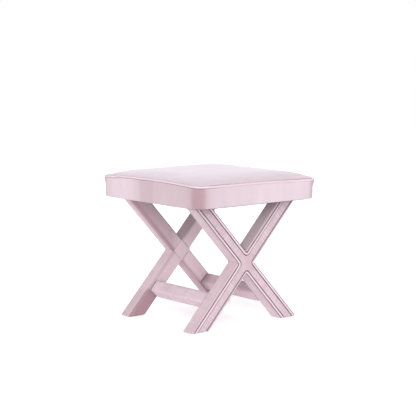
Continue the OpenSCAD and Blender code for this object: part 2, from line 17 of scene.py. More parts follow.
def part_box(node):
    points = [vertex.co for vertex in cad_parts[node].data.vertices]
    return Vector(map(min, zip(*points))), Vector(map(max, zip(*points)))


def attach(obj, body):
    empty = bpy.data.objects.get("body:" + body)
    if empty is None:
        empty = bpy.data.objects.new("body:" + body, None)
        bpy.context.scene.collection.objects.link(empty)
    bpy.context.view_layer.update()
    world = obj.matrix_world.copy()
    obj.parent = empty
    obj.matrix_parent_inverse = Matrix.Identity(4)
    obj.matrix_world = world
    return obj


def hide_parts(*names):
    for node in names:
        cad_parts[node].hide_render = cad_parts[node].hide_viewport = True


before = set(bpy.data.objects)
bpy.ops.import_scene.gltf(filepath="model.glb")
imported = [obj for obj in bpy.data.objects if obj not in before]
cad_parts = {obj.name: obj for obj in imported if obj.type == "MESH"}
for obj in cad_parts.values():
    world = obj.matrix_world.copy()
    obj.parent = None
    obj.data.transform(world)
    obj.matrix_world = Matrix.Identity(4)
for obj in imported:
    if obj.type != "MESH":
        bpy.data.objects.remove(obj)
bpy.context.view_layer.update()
scene = bpy.context.scene

# %% [markdown]
# The camera comes first. The photograph was taken from the front left with a long lens, which
# keeps the seat's edges nearly parallel. The numbers come from fitting the legs' edges, the feet and
# the seat's outline, so the render can be laid over the photograph.

# %% Camera
IMAGE = 416
SENSOR_MM = 36
AZIMUTH = -39.93
ELEVATION = 7.36
ROLL = 0.2
DISTANCE = 4.372
FOCAL_PIXELS = 1317.7
TARGET = Vector((-0.00086, 0.00071, 0.36398))


def camera_axes(azimuth, elevation, roll):
    a, e, r = (math.radians(v) for v in (azimuth, elevation, roll))
    back = Vector((math.sin(a) * math.cos(e), -math.cos(a) * math.cos(e), math.sin(e)))
    right = Vector((math.cos(a), math.sin(a), 0))
    up = back.cross(right)
    turned_right = right * math.cos(r) + up * math.sin(r)
    turned_up = up * math.cos(r) - right * math.sin(r)
    return turned_right, turned_up, back


right, up, back = camera_axes(AZIMUTH, ELEVATION, ROLL)
camera_data = bpy.data.cameras.new("camera")
camera_data.sensor_width = SENSOR_MM
camera_data.lens = FOCAL_PIXELS * SENSOR_MM / IMAGE
camera = bpy.data.objects.new("camera", camera_data)
scene.collection.objects.link(camera)
place = Matrix((right, up, back)).transposed().to_4x4()
place.translation = TARGET + back * DISTANCE
camera.matrix_world = place
scene.camera = camera
scene.view_settings.view_transform = "Standard"
print("lens", round(camera_data.lens, 2), "mm")

# %% [markdown]
# A material is a small tree of nodes. One helper adds a node, sets its values and joins its inputs,
# and one function turns the hex colours that people read off a screen into the linear ones that the
# renderer adds up.

# %% Helpers for materials


def colour(code):
    parts = [int(code[i : i + 2], 16) / 255 for i in (1, 3, 5)]
    linear = [p / 12.92 if p <= 0.04045 else ((p + 0.055) / 1.055) ** 2.4 for p in parts]
    return (*linear, 1.0)


def add(tree, kind, settings=None, links=None):
    node = tree.nodes.new(kind)
    for name, value in (settings or {}).items():
        if isinstance(name, int) or name in node.inputs:
            node.inputs[name].default_value = value
        else:
            setattr(node, name, value)
    for name, source in (links or {}).items():
        tree.links.new(source, node.inputs[name])
    return node


def new_material(name):
    material = bpy.data.materials.new(name)
    material.use_nodes = True
    material.node_tree.nodes.clear()
    return material, material.node_tree


print("blush reads", [round(v, 3) for v in colour("#E8D6E0")])

# %% [markdown]
# The studio is a white room. The air itself gives an even fill. The main lamp is a broad one at the
# front left, close to the camera, so that hardly any shadow shows. A weaker one at the front right
# lifts the front, a high one on the left gives the top its light, and one behind keeps the far
# sides from going dull. What the camera sees behind the bench is plain white, made with the Light
# Path node, so the background costs the bench no extra light.

# %% Air and white background
AIR = 0.46
AIR_TINT = (1, 0.905, 0.925, 1)
WHITE = (1, 1, 1, 1)
world = bpy.data.worlds.new("studio_air")
world.use_nodes = True
scene.world = world
tree = world.node_tree
tree.nodes.clear()
path = add(tree, "ShaderNodeLightPath")
seen = path.outputs["Is Camera Ray"]
for kind in ("Is Glossy Ray", "Is Transmission Ray"):
    rays = {0: seen, 1: path.outputs[kind]}
    seen = add(tree, "ShaderNodeMath", {"operation": "MAXIMUM"}, rays).outputs[0]
fill = add(tree, "ShaderNodeBackground", {"Color": AIR_TINT, "Strength": AIR})
white = add(tree, "ShaderNodeBackground", {"Color": WHITE, "Strength": 1.0})
choice = {0: seen, 1: fill.outputs[0], 2: white.outputs[0]}
mixed = add(tree, "ShaderNodeMixShader", links=choice)
add(tree, "ShaderNodeOutputWorld", links={"Surface": mixed.outputs[0]})
print("air gives", AIR)

# %% [markdown]
# Each lamp is a sun with a wide disc, so that its shadows are soft. A lamp has the way that its
# light travels, its strength and the width of its disc in degrees. All are slightly cool, against
# the rosy air.

# %% Lamps
LAMP_TINT = "#F4FFFC"
LAMPS = {
    "front_left_lamp": ((0.637, 0.761, -0.128), 1.88, 45),
    "front_right_lamp": ((-0.4, 1.0, -0.55), 0.38, 30),
    "high_left_lamp": ((1.0, 0.3, -1.05), 0.76, 45),
    "rear_right_lamp": ((-0.8, -0.8, -0.35), 1.2, 50),
}
for name, (aim, strength, softness) in LAMPS.items():
    data = bpy.data.lights.new(name, "SUN")
    data.energy = strength
    data.angle = math.radians(softness)
    data.color = colour(LAMP_TINT)[:3]
    lamp = bpy.data.objects.new(name, data)
    scene.collection.objects.link(lamp)
    lamp.rotation_euler = Vector(aim).to_track_quat("-Z", "Y").to_euler()
print("lamps:", list(LAMPS))

# %% [markdown]
# The floor is a plain white sweep. It has to look as white as the page and still take the soft
# shadow under the feet, so its shader adds a little light of its own to what falls on it. White
# paper also throws light back up, which brightens the undersides.

# %% Floor
FLOOR_RADIUS = 9.0
SEEN_GLOW = 0.46
THROWN_GLOW = 0.2
THROWN_TINT = (1, 0.97, 0.98, 1)
bm = bmesh.new()
bmesh.ops.create_circle(bm, cap_ends=True, segments=64, radius=FLOOR_RADIUS)
floor_mesh = bpy.data.meshes.new("floor")
bm.to_mesh(floor_mesh)
bm.free()
floor = bpy.data.objects.new("floor", floor_mesh)
scene.collection.objects.link(floor)
paper, tree = new_material("white_paper_sweep")
path = add(tree, "ShaderNodeLightPath")
matt = add(tree, "ShaderNodeBsdfDiffuse", {"Color": colour("#F4F4F6")})
choice = {0: path.outputs["Is Camera Ray"]}
for way, tint, strength in ((1, THROWN_TINT, THROWN_GLOW), (2, WHITE, SEEN_GLOW)):
    glow = add(tree, "ShaderNodeEmission", {"Color": tint, "Strength": strength})
    both = {0: matt.outputs[0], 1: glow.outputs[0]}
    choice[way] = add(tree, "ShaderNodeAddShader", links=both).outputs[0]
kept = add(tree, "ShaderNodeMixShader", links=choice)
add(tree, "ShaderNodeOutputMaterial", links={"Surface": kept.outputs[0]})
floor_mesh.materials.append(paper)
print("floor is", 2 * FLOOR_RADIUS, "m across")

# %% [markdown]
# Cotton velvet is a short, dense pile that stands up from its backing. Looked at straight on, the eye
# goes in between the fibres and the cloth looks deeper; at a glancing angle the tips catch the light
# and it looks paler. So the cloth itself is a fairly deep rose, and a strong sheen layer lays
# the cool white of the tips over it.
#
# Four marks on the mesh say where the cloth changes. One is painted shade, darker where a groove,
# seam or crease falls into shadow. Another is painted shade under and beside close pieces and round
# hard edges, with here and there a streak of pile brushed the other way. Both mix in a deeper tone.
# "run" is the distance along a leg in millimetres, and "rib" says how strongly the tight cover is
# ribbed across it. The tufts are about 0.3 mm apart. They and the pull lines are drawn coarser than
# the real ones, 1.25 mm and 4.2 mm apart, so that they show in a small picture.
# A slow drift of the tone, in clouds about 40 mm wide, is drawn out downwards as the cloth hangs.

# %% The velvet's pattern
TUFT_MM = 1.25
RIB_MM = 4.2
DRIFT_SCALE = 26.0
HUNG = (1, 1, 0.3)


def velvet_pattern(tree, marks):
    spot = add(tree, "ShaderNodeTexCoord").outputs["Object"]
    hung = add(tree, "ShaderNodeMapping", {"Scale": HUNG}, {"Vector": spot})
    shape = {"Scale": DRIFT_SCALE, "Detail": 3.0, "Roughness": 0.55}
    drift = add(tree, "ShaderNodeTexNoise", shape, {"Vector": hung.outputs[0]})
    shape = {"Scale": 1000 / TUFT_MM, "Detail": 2.0, "Roughness": 0.6}
    tuft = add(tree, "ShaderNodeTexNoise", shape, {"Vector": spot})
    shape = {"noise_dimensions": "1D", "Scale": 2 / RIB_MM, "Detail": 1.0}
    wave = add(tree, "ShaderNodeTexNoise", shape, {"W": marks["run"]})
    tone = add(tree, "ShaderNodeMapRange", {1: 0.3, 2: 0.7, 3: 0.1, 4: 0.6}, {0: drift.outputs[0]})
    grain = add(tree, "ShaderNodeMapRange", {1: 0.3, 2: 0.7, 3: -0.2, 4: 0.2}, {0: tuft.outputs[0]})
    ridge = add(tree, "ShaderNodeMapRange", {1: 0.35, 2: 0.65, 3: 0.8, 4: -0.8}, {0: wave.outputs[0]})
    both = {0: ridge.outputs[0], 1: marks["rib"]}
    ribs = add(tree, "ShaderNodeMath", {"operation": "MULTIPLY"}, both)
    both = {0: tone.outputs[0], 1: grain.outputs[0]}
    depth = add(tree, "ShaderNodeMath", {"operation": "ADD"}, both)
    both = {0: depth.outputs[0], 1: ribs.outputs[0]}
    depth = add(tree, "ShaderNodeMath", {"operation": "ADD", "use_clamp": True}, both)
    return depth.outputs[0], tuft.outputs[0], ribs.outputs[0]


print("tufts drawn", TUFT_MM, "mm apart, pull lines", RIB_MM, "mm apart")

# %% [markdown]
# One cloth covers the bench in five tones: on the band, on the seat, along the legs, on the outer
# faces of the legs and the stretchers, and on the cord. They are copies set to how lit or shaded each
# part looks, so they are partly painted light. The seat's is paler, as painted sheen. The legs' is
# rosier, and that of the outer faces and stretchers is deeper, as painted shade. Each goes from a
# pale colour to a deeper one as the pattern says. The two marks of painted shade are mixed over it.

# %% The velvet's tones
# Painted shade: the deep rose laid into grooves, seams and creases where shadow falls.
GROOVE_SHADE_TONE = "#66283A"
# Painted shade, partly brushed pile: the dull rose laid under and beside close pieces and round hard
# edges.
SHADE_AND_NAP_TONE = "#AE8D95"
SHEEN_TINT = "#FAF4FF"


def velvet_cloth(name, pale, deep, sheen):
    material, tree = new_material(name)
    marks = {}
    for mark_name in ("fold", "nap", "run", "rib"):
        node = add(tree, "ShaderNodeAttribute", {"attribute_name": mark_name})
        marks[mark_name] = node.outputs["Fac"]
    depth, tufts, ribs = velvet_pattern(tree, marks)
    colours = {"data_type": "RGBA", 6: colour(pale), 7: colour(deep)}
    tone = add(tree, "ShaderNodeMix", colours, {0: depth}).outputs[2]
    # Both marks are painted shade, mixed over the pattern in deeper tones.
    for mark_name, marked in (("nap", SHADE_AND_NAP_TONE), ("fold", GROOVE_SHADE_TONE)):
        colours = {"data_type": "RGBA", 7: colour(marked)}
        tone = add(tree, "ShaderNodeMix", colours, {0: marks[mark_name], 6: tone}).outputs[2]
    short = {"Strength": 0.35, "Distance": 0.0004}
    bump = add(tree, "ShaderNodeBump", short, {"Height": tufts})
    heights = {"Height": ribs, "Normal": bump.outputs[0]}
    pulled = {"Strength": 1.0, "Distance": 0.0005, "invert": True}
    bump = add(tree, "ShaderNodeBump", pulled, heights)
    surface = {
        "Roughness": 0.95,
        "Specular IOR Level": 0.1,
        "Sheen Weight": sheen,
        "Sheen Roughness": 0.3,
        "Sheen Tint": colour(SHEEN_TINT),
    }
    links = {"Base Color": tone, "Normal": bump.outputs[0]}
    shader = add(tree, "ShaderNodeBsdfPrincipled", surface, links)
    add(tree, "ShaderNodeOutputMaterial", links={"Surface": shader.outputs[0]})
    return material


# Painted light: the seat's copy is paler as sheen; the legs' copy is rosier and that of the faces and
# stretchers deeper, as shade.
velvet = velvet_cloth("blush_cotton_velvet", "#E4D2D9", "#DBC5CD", 1.0)
seat_sheen_velvet = velvet_cloth("blush_velvet_seat_painted_sheen", "#E8D7DF", "#DFCAD4", 1.0)
leg_velvet = velvet_cloth("blush_velvet_legs_painted_rosier_shade", "#E9D2DA", "#DABCC6", 0.55)
panel_velvet = velvet_cloth("blush_velvet_painted_deeper_shade", "#ECD7DF", "#CDACB7", 0.55)
welt_velvet = velvet_cloth("blush_velvet_on_cord", "#EDD8E1", "#E2CAD4", 0.65)
cloths = (velvet, seat_sheen_velvet, leg_velvet, panel_velvet, welt_velvet)
print("cloths:", [cloth.name for cloth in cloths])

# %% [markdown]
# The pieces are modelled in millimetres and turned into metres when they are finished. The sizes
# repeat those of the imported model, and its boxes say where things are.

# %% Sizes shared by the pieces
SEAT = 508.0
HALF = SEAT / 2
CORNER_R = 40.0
BAND_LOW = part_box("seat_band")[0].z * 1000
BAND_HIGH = BAND_LOW + 72.0
CROWN_TOP = BAND_HIGH + 19.0
CROWN_POWER = 8
SIDE_DRAW = 1.5
WELT_R = 3.5
WELT_IN = 3.0
CLOTH = 1.3
LEG = 50.0
FOOT_X = 192.0
TOP_X = 183.0
FACE_Y = 189.0
FOOT_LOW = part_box("front_wrap_lower_left")[0].z * 1000
COVER_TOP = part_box("front_wrap_upper_left")[1].z * 1000
LEAN = math.atan2(BAND_LOW, FOOT_X + TOP_X)
CROSS_Z = FOOT_X * math.tan(LEAN)
print("lean", round(math.degrees(LEAN), 2), "crossing at", round(CROSS_Z, 1), "band from", BAND_LOW)

# %% [markdown]
# Small helpers serve all the pieces. These give numbers. One eases between two values, one is the
# curve of a rolled edge, one is the dip of a cloth at its seam, and one is a soft unevenness that is
# the same on each run.

# %% Helpers that give numbers


def smooth(low, high, value):
    t = min(1.0, max(0.0, (value - low) / (high - low)))
    return t * t * (3 - 2 * t)


def rounding(distance, reach):
    t = 1 - min(1.0, max(0.0, distance / reach))
    return 1 - math.sqrt(1 - t * t)


def bell(distance, width):
    return math.exp(-((distance / width) ** 2))


def uneven(x, y, z):
    return noise.noise(Vector((x, y, z)))


print("half way, eased:", smooth(0, 2, 1), "rolled:", round(rounding(1, 2), 3))

# %% [markdown]
# The next helpers work on a bmesh. They pick out edges and new points, open the ends of a box, cut
# edges finely, slice a piece with a plane, mirror it and turn its faces the right way out.

# %% Helpers that work on a bmesh
ROUND = {"offset_type": "OFFSET", "profile": 0.5, "affect": "EDGES", "material": -1}
UPRIGHT = Vector((0, 0, 1))
FRONT_TO_BACK = (1, -1, 1)
LEFT_TO_RIGHT = (-1, 1, 1)


def fresh_verts(made):
    return [g for g in made if isinstance(g, bmesh.types.BMVert)]


def longer(bm, length):
    return [e for e in bm.edges if e.calc_length() > length]


def spanning(bm, way, length):
    return [e for e in bm.edges if abs((e.verts[0].co - e.verts[1].co).dot(way)) > length]


def boundary(bm):
    return [e for e in bm.edges if e.is_boundary]


def open_ends(bm, way):
    caps = [f for f in bm.faces if abs(f.normal.dot(way)) > 0.9]
    bmesh.ops.delete(bm, geom=caps, context="FACES_ONLY")


def cut_finely(bm, edges, cuts):
    bmesh.ops.subdivide_edges(bm, edges=edges, cuts=cuts, use_grid_fill=True)


def slice_through(bm, point, normal, **extra):
    geom = bm.verts[:] + bm.edges[:] + bm.faces[:]
    bmesh.ops.bisect_plane(bm, geom=geom, plane_co=point, plane_no=normal, **extra)


def mirrored(bm, flip):
    bmesh.ops.scale(bm, vec=flip, verts=bm.verts)
    bmesh.ops.reverse_faces(bm, faces=bm.faces)


def turn_towards(bm, faces, way):
    if sum(f.normal.dot(Vector(way)) for f in faces) < 0:
        bmesh.ops.reverse_faces(bm, faces=bm.faces)


print("mirror images are scaled by", FRONT_TO_BACK, "and", LEFT_TO_RIGHT)

# %% [markdown]
# Two more helpers finish a piece. One writes the marks that the velvet reads. The other turns the
# finished bmesh into a piece of the model, with its material and the thickness of its cloth, and
# hides the nodes of the imported model that it stands for.

# %% Helpers for marks and pieces
TO_METRES = (0.001, 0.001, 0.001)


def mark(bm, **rules):
    for name, rule in rules.items():
        layer = bm.verts.layers.float.get(name) or bm.verts.layers.float.new(name)
        for v in bm.verts:
            v[layer] = rule(v)


def finish_piece(name, bm, material, nodes, thickness=0.0):
    bmesh.ops.scale(bm, vec=TO_METRES, verts=bm.verts)
    mesh = bpy.data.meshes.new(name)
    bm.to_mesh(mesh)
    bm.free()
    mesh.polygons.foreach_set("use_smooth", [True] * len(mesh.polygons))
    mesh.materials.append(material)
    piece = bpy.data.objects.new(name, mesh)
    scene.collection.objects.link(piece)
    if thickness:
        shell = piece.modifiers.new("cloth_thickness", "SOLIDIFY")
        shell.thickness = thickness / 1000
        shell.offset = -1
        shell.use_even_offset = False
    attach(piece, "root")
    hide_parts(*nodes)
    print(name, len(mesh.polygons), "faces")
    return piece


print("a millimetre is", TO_METRES[0], "m in the model")

# %% [markdown]
# The seat's outline is a square with round corners whose sides are drawn in a little by the tight
# cover. The sewn edge isn't level: it is pulled down towards the right corner and rides up along
# the left side, where the foam pushes it. At three of its corners the top panel's seam stands out
# past the band in a small ear. Every seat piece asks the same functions, so they meet.

# %% The seat's outline and sewn edge
SEAM_BY_ANGLE = (
    (0, 469.0),
    (30, 468.0),
    (45, 466.0),
    (60, 469.0),
    (90, 470.5),
    (120, 470.0),
    (135, 467.0),
    (143, 469.5),
    (150, 474.0),
    (168, 475.0),
    (182, 476.0),
    (202, 475.7),
    (217, 473.0),
    (225, 470.3),
    (238, 469.5),
    (261, 469.5),
    (285, 468.5),
    (295, 467.0),
    (304, 465.2),
    (315, 464.8),
    (330, 466.5),
    (360, 469.0),
)
EARS = {(1, -1): 6.0, (-1, 1): 4.0, (1, 1): 4.0, (-1, -1): 0.0}


def inward(x, y):
    cx = math.copysign(HALF - CORNER_R, x)
    cy = math.copysign(HALF - CORNER_R, y)
    dx, dy = x - cx, y - cy
    past_x, past_y = abs(x) > HALF - CORNER_R, abs(y) > HALF - CORNER_R
    if past_x and past_y:
        far = max(1e-6, math.hypot(dx, dy))
        return Vector((-dx / far, -dy / far, 0)), CORNER_R - far
    if HALF - abs(x) < HALF - abs(y):
        return Vector((-math.copysign(1, x), 0, 0)), HALF - abs(x)
    return Vector((0, -math.copysign(1, y), 0)), HALF - abs(y)


def drawn_in(x, y):
    straight = HALF - CORNER_R
    share_x = 1 - min(1, abs(x) / straight) ** 2
    share_y = 1 - min(1, abs(y) / straight) ** 2
    return x * (1 - SIDE_DRAW / HALF * share_y), y * (1 - SIDE_DRAW / HALF * share_x)


def shares(x, y):
    return min(1, abs(x) / HALF), min(1, abs(y) / HALF)


def ear(x, y):
    u, v = shares(x, y)
    size = EARS[(int(math.copysign(1, x)), int(math.copysign(1, y)))]
    return size * min(1.0, (u * v) ** 6 / 0.57)


def seam_z(x, y):
    turn = math.degrees(math.atan2(y, x)) % 360
    for (low, first), (high, second) in zip(SEAM_BY_ANGLE, SEAM_BY_ANGLE[1:]):
        if turn <= high:
            return first + (second - first) * smooth(low, high, turn)
    return SEAM_BY_ANGLE[0][1]


def crown_z(x, y):
    u, v = shares(x, y)
    full = (1 - u**CROWN_POWER) * (1 - v**CROWN_POWER)
    seam = seam_z(x, y)
    tired = -1.5 * smooth(20, 160, y) * smooth(80, -120, x) * full
    fuller = 2.0 * smooth(120, 230, x) * smooth(-90, -220, y)
    return seam + (CROWN_TOP - seam) * full + tired + fuller


print("sewn edge, left middle:", round(seam_z(-HALF, 0), 1), "crown:", round(crown_z(0, 0), 1))

# %% [markdown]
# The band is the strip of velvet round the seat's side. It starts as a box with its upright edges
# bevelled, loses its top and bottom, and is cut into fine columns and rows. The rows crowd towards
# both edges, where the cloth turns: at the top it tucks in under the welt, at the bottom it rolls
# round the rail's wadding and runs in as a hem. The hem hangs a little low along the left side.

# %% The band's hem and painted shade
HEM_IN = 12


def hem_z(x, y):
    left = smooth(-HALF + 90, -HALF, x) * smooth(-210, -120, y)
    behind = smooth(HALF - 90, HALF, y)
    beside = smooth(HALF - 90, HALF, x)
    return BAND_LOW - max(1.8 * left, 1.5 * behind, 1.0 * beside)


# Painted shade on the band: darker round the upright corners, where velvet seen face on looks deeper,
# towards the left along the front, and towards the front along the left side. One narrow upright
# streak on the left side is brushed pile.
def band_shade_and_streak(x, y):
    reach = (abs(x) + abs(y)) / HALF
    corner_shade = 0.1 * smooth(1.64, 1.85, reach) + 0.35 * smooth(1.85, 1.905, reach)
    corner_shade += 0.16 * smooth(60, -200, x) * smooth(-HALF + 60, -HALF + 10, y)
    left = 0.34 * smooth(110, 20, y) * smooth(-HALF + 60, -HALF + 10, x)
    stroke = 0.12 * smooth(45, 30, y) * smooth(-35, -20, y) * smooth(-HALF + 60, -HALF + 10, x)
    return min(1.0, corner_shade + left + stroke)


# Painted shade in the groove under the welt, deeper towards the left.
def lower_groove_shade(x):
    return 0.12 + 0.33 * smooth(-130, -235, x)


print("hem, left front:", round(hem_z(-HALF, -HALF), 1), "left back:", round(hem_z(-HALF, 0), 1))

# %% [markdown]
# Each point of the band then finds its place between the hem and the sewn edge. It is pushed out
# into a slight belly, tucked in at both edges and made a little uneven.

# %% Seat band
bm = bmesh.new()
height = BAND_HIGH - BAND_LOW
bmesh.ops.create_cube(bm, size=1.0)
bmesh.ops.scale(bm, vec=(SEAT, SEAT, height), verts=bm.verts)
bmesh.ops.translate(bm, vec=(0, 0, (BAND_HIGH + BAND_LOW) / 2), verts=bm.verts)
bmesh.ops.bevel(bm, geom=spanning(bm, UPRIGHT, 1), offset=CORNER_R, segments=14, **ROUND)
open_ends(bm, UPRIGHT)
cut_finely(bm, longer(bm, 100), 119)
cut_finely(bm, spanning(bm, UPRIGHT, 1), 23)
lowest = [e for e in bm.edges if max(v.co.z for v in e.verts) < BAND_LOW + 0.01]
hem = set(fresh_verts(bmesh.ops.extrude_edge_only(bm, edges=lowest)["geom"]))
for v in bm.verts:
    x, y, z = v.co
    into, _ = inward(x, y)
    bottom = hem_z(x, y)
    if v in hem:
        v.co = Vector((x, y, bottom)) + into * HEM_IN
        continue
    share = 0.5 - 0.5 * math.cos(math.pi * (z - BAND_LOW) / height)
    top = seam_z(x, y) - 1.0
    down, rise = (top - bottom) * (1 - share), (top - bottom) * share
    tuck = 2.6 * rounding(down - 1.5, 3.5) + 4.5 * rounding(rise, 5.0)
    belly = 1.2 * math.sin(math.pi * share) ** 0.7
    soft = uneven(x / 45, y / 45, z / 160) * 0.7
    fine = uneven(x / 13, y / 13, z / 50 + 7) * 0.18
    pushed = ear(x, y) * (1 - smooth(2, 26, down))
    dx, dy = drawn_in(x, y)
    v.co = Vector((dx, dy, bottom + rise)) + into * (tuck - belly + soft + fine - pushed)
mark(
    bm,
    fold=lambda v: lower_groove_shade(v.co.x) * smooth(6.0, 3.0, seam_z(v.co.x, v.co.y) - v.co.z),
    nap=lambda v: band_shade_and_streak(v.co.x, v.co.y),
)
finish_piece("seat_band_cover", bm, velvet, ["seat_band"], CLOTH)

# %% [markdown]
# The welt is a thin cord rolled in a bias strip of the same velvet and caught in the seam. A ring
# of points is pushed along each side and spun round each corner until it meets its own start; then
# every point takes the height of the sewn edge.

# %% Cord helpers
CORD_SIDES = 12


def ring_edges(bm, made):
    fresh = set(fresh_verts(made))
    return [e for e in bm.edges if e.verts[0] in fresh and e.verts[1] in fresh]


def start_cord(bm, place, facing, radius):
    turn = Vector(facing).to_track_quat("Z", "Y").to_matrix().to_4x4()
    matrix = Matrix.Translation(place) @ turn
    ring = {"cap_ends": False, "segments": CORD_SIDES, "radius": radius, "matrix": matrix}
    made = bmesh.ops.create_circle(bm, **ring)
    return ring_edges(bm, made["verts"])


def run_cord(bm, ring, step, count):
    for _ in range(count):
        fresh = fresh_verts(bmesh.ops.extrude_edge_only(bm, edges=ring)["geom"])
        bmesh.ops.translate(bm, vec=step, verts=fresh)
        ring = ring_edges(bm, fresh)
    return ring


def bend_cord(bm, ring, centre, axis, angle, steps):
    turn = {"cent": centre, "axis": axis, "angle": angle, "steps": steps}
    made = bmesh.ops.spin(bm, geom=ring, **turn)
    return ring_edges(bm, made["geom_last"])


print("a cord has", CORD_SIDES, "sides")

# %% Seat welt
bm = bmesh.new()
side = HALF - CORNER_R
near = HALF - WELT_IN
steps = 54
ring = start_cord(bm, (0, -near, BAND_HIGH), (1, 0, 0), WELT_R)
heading = Vector((1, 0, 0))
ring = run_cord(bm, ring, heading * side / steps, steps)
for corner in ((side, -side), (side, side), (-side, side), (-side, -side)):
    ring = bend_cord(bm, ring, (*corner, BAND_HIGH), (0, 0, 1), math.radians(90), 16)
    heading = Vector((-heading.y, heading.x, 0))
    last = corner == (-side, -side)
    ring = run_cord(bm, ring, heading * side / steps, steps if last else 2 * steps)
bmesh.ops.remove_doubles(bm, verts=bm.verts, dist=0.05)
bmesh.ops.recalc_face_normals(bm, faces=bm.faces)
for v in bm.verts:
    x, y, z = v.co
    dx, dy = drawn_in(x, y)
    wander = uneven(x / 30, y / 30, 3) * 0.35
    pucker = uneven(x / 5, y / 5, z / 5) * 0.12
    into, _ = inward(x, y)
    out = Vector((dx, dy, z - BAND_HIGH + seam_z(x, y) + wander))
    v.co = out + into * (pucker - ear(x, y))
finish_piece("seat_welt_cord", bm, welt_velvet, ["seat_welt"])

# %% [markdown]
# The top is velvet drawn tight over wadding and foam. A flat grid is cut to the seam's line and
# raised into a low crown. Then it is filled as the real one is: its rim is held where the seam
# holds it, air pressure from below stands for the foam, and a cloth simulation lets the velvet
# find its own tension. Where each point rises is taken from the simulation. How far is scaled to 3
# mm and capped, and the cap comes down to nothing at the seam.

# %% The cloth simulation that fills the seat
FILL_RISE = 3.0
FILL_PUSH = 1.15
HELD_RIM = 11
PRESSURE = 4.0
LAST_FRAME = 20


def fill_cap(x, y):
    u, v = shares(x, y)
    return FILL_RISE * (1 - u**4) * (1 - v**4)


def filled_heights(flat):
    mesh = bpy.data.meshes.new("pad_for_filling")
    flat.to_mesh(mesh)
    pad = bpy.data.objects.new("pad_for_filling", mesh)
    scene.collection.objects.link(pad)
    held = pad.vertex_groups.new(name="held")
    rim = [v.index for v in mesh.vertices if inward(*(v.co * 1000).xy)[1] < HELD_RIM]
    held.add(rim, 1.0, "REPLACE")
    cloth = pad.modifiers.new("filling", "CLOTH")
    cloth.settings.vertex_group_mass = "held"
    cloth.settings.use_pressure = True
    cloth.settings.uniform_pressure_force = PRESSURE
    cloth.settings.effector_weights.gravity = 0.0
    cloth.settings.quality = 5
    cloth.point_cache.frame_start = 1
    cloth.point_cache.frame_end = LAST_FRAME
    for moment in range(1, LAST_FRAME + 1):
        scene.frame_set(moment)
    graph = bpy.context.evaluated_depsgraph_get()
    heights = [v.co.z * 1000 for v in pad.evaluated_get(graph).data.vertices]
    bpy.data.objects.remove(pad)
    scene.frame_set(1)
    return heights


print("the fill may lift the middle by", fill_cap(0, 0), "mm")

# %% The seat's crown
bm = bmesh.new()
bmesh.ops.create_grid(bm, x_segments=100, y_segments=100, size=HALF - 3)
outside = [v for v in bm.verts if inward(v.co.x, v.co.y)[1] < 2.0]
bmesh.ops.delete(bm, geom=outside, context="VERTS")
for v in bm.verts:
    v.co.z = crown_z(v.co.x, v.co.y) - fill_cap(v.co.x, v.co.y)
rises = [FILL_RISE] * len(bm.verts)
small = bm.copy()
bmesh.ops.scale(small, vec=TO_METRES, verts=small.verts)
filled = filled_heights(small)
small.free()
rises = [high - v.co.z for high, v in zip(filled, bm.verts)]
print("filling lifts the top by up to", round(max(rises), 2), "mm")
most = max(rises)
for v, rise in zip(bm.verts, rises):
    v.co.z += min(fill_cap(v.co.x, v.co.y), max(0.0, rise / most * FILL_RISE * FILL_PUSH))
print("the crown has", len(bm.verts), "points")

# %% [markdown]
# The filled sheet then gets its edge. The rows near the seam are split, because the roll down to
# the welt is only a few millimetres wide, and a skirt and a base close the form.

# %% Seat top
WELT_ROOM = WELT_IN + WELT_R
SKIRT_DROP = 18
for reach in (22, 12):
    edge = [e for e in bm.edges if inward(*((e.verts[0].co + e.verts[1].co) / 2).xy)[1] < reach]
    cut_finely(bm, edge, 1)
for v in bm.verts:
    x, y, _ = v.co
    into, inset = inward(x, y)
    roll = 5.5 * rounding(inset - WELT_ROOM + 0.6, 6.5)
    roll += 3.0 if inset < WELT_ROOM - 1.5 else 0.0
    near_seam = 1 - smooth(6, 40, inset)
    pucker = uneven(x / 11, y / 11, 5) * 0.5 * near_seam
    slow = uneven(x / 90, y / 90, 1) * 0.8 * smooth(6, 60, inset)
    dx, dy = drawn_in(x, y)
    pushed = into * -ear(x, y) * (1 - smooth(4, 45, inset))
    v.co = Vector((dx, dy, v.co.z - roll + pucker + slow)) + pushed


# Painted shade: the top darkens in the groove along its seam, stronger from near the left end to past
# the middle.
def upper_groove_shade(x, y):
    inset = inward(x, y)[1] + ear(x, y)
    front = smooth(-252, -235, x) * smooth(260, 60, x)
    return (1 - smooth(8.0, 11.0, inset)) * (0.25 + 0.35 * front)


mark(bm, fold=lambda v: upper_groove_shade(v.co.x, v.co.y))
for v in fresh_verts(bmesh.ops.extrude_edge_only(bm, edges=boundary(bm))["geom"]):
    v.co.z = BAND_HIGH - SKIRT_DROP
bmesh.ops.holes_fill(bm, edges=boundary(bm), sides=0)
bmesh.ops.recalc_face_normals(bm, faces=bm.faces)
stands_for = ["seat_top_panel", "seat_wadding", "seat_foam"]
cushion = finish_piece("seat_cushion_top", bm, seat_sheen_velvet, stands_for)

# %% [markdown]
# Both X frames share one drawing, made for the front one in the plane of its outer face. A leg
# leans right ("/") or left ("\"). The welts aren't all laid the same way. Measured on the photograph,
# the one on the upper side of "/" runs 12 mm in from the leg's edge and the one on its lower side
# right at the edge, and those of "\" lie 8 and 6 mm in. So each opening of the X has the way that it
# faces, half its angle, the radius of its bend and two insets. The lines from the cover's edge in
# to the cord are shares of that way, from 0 to 1.

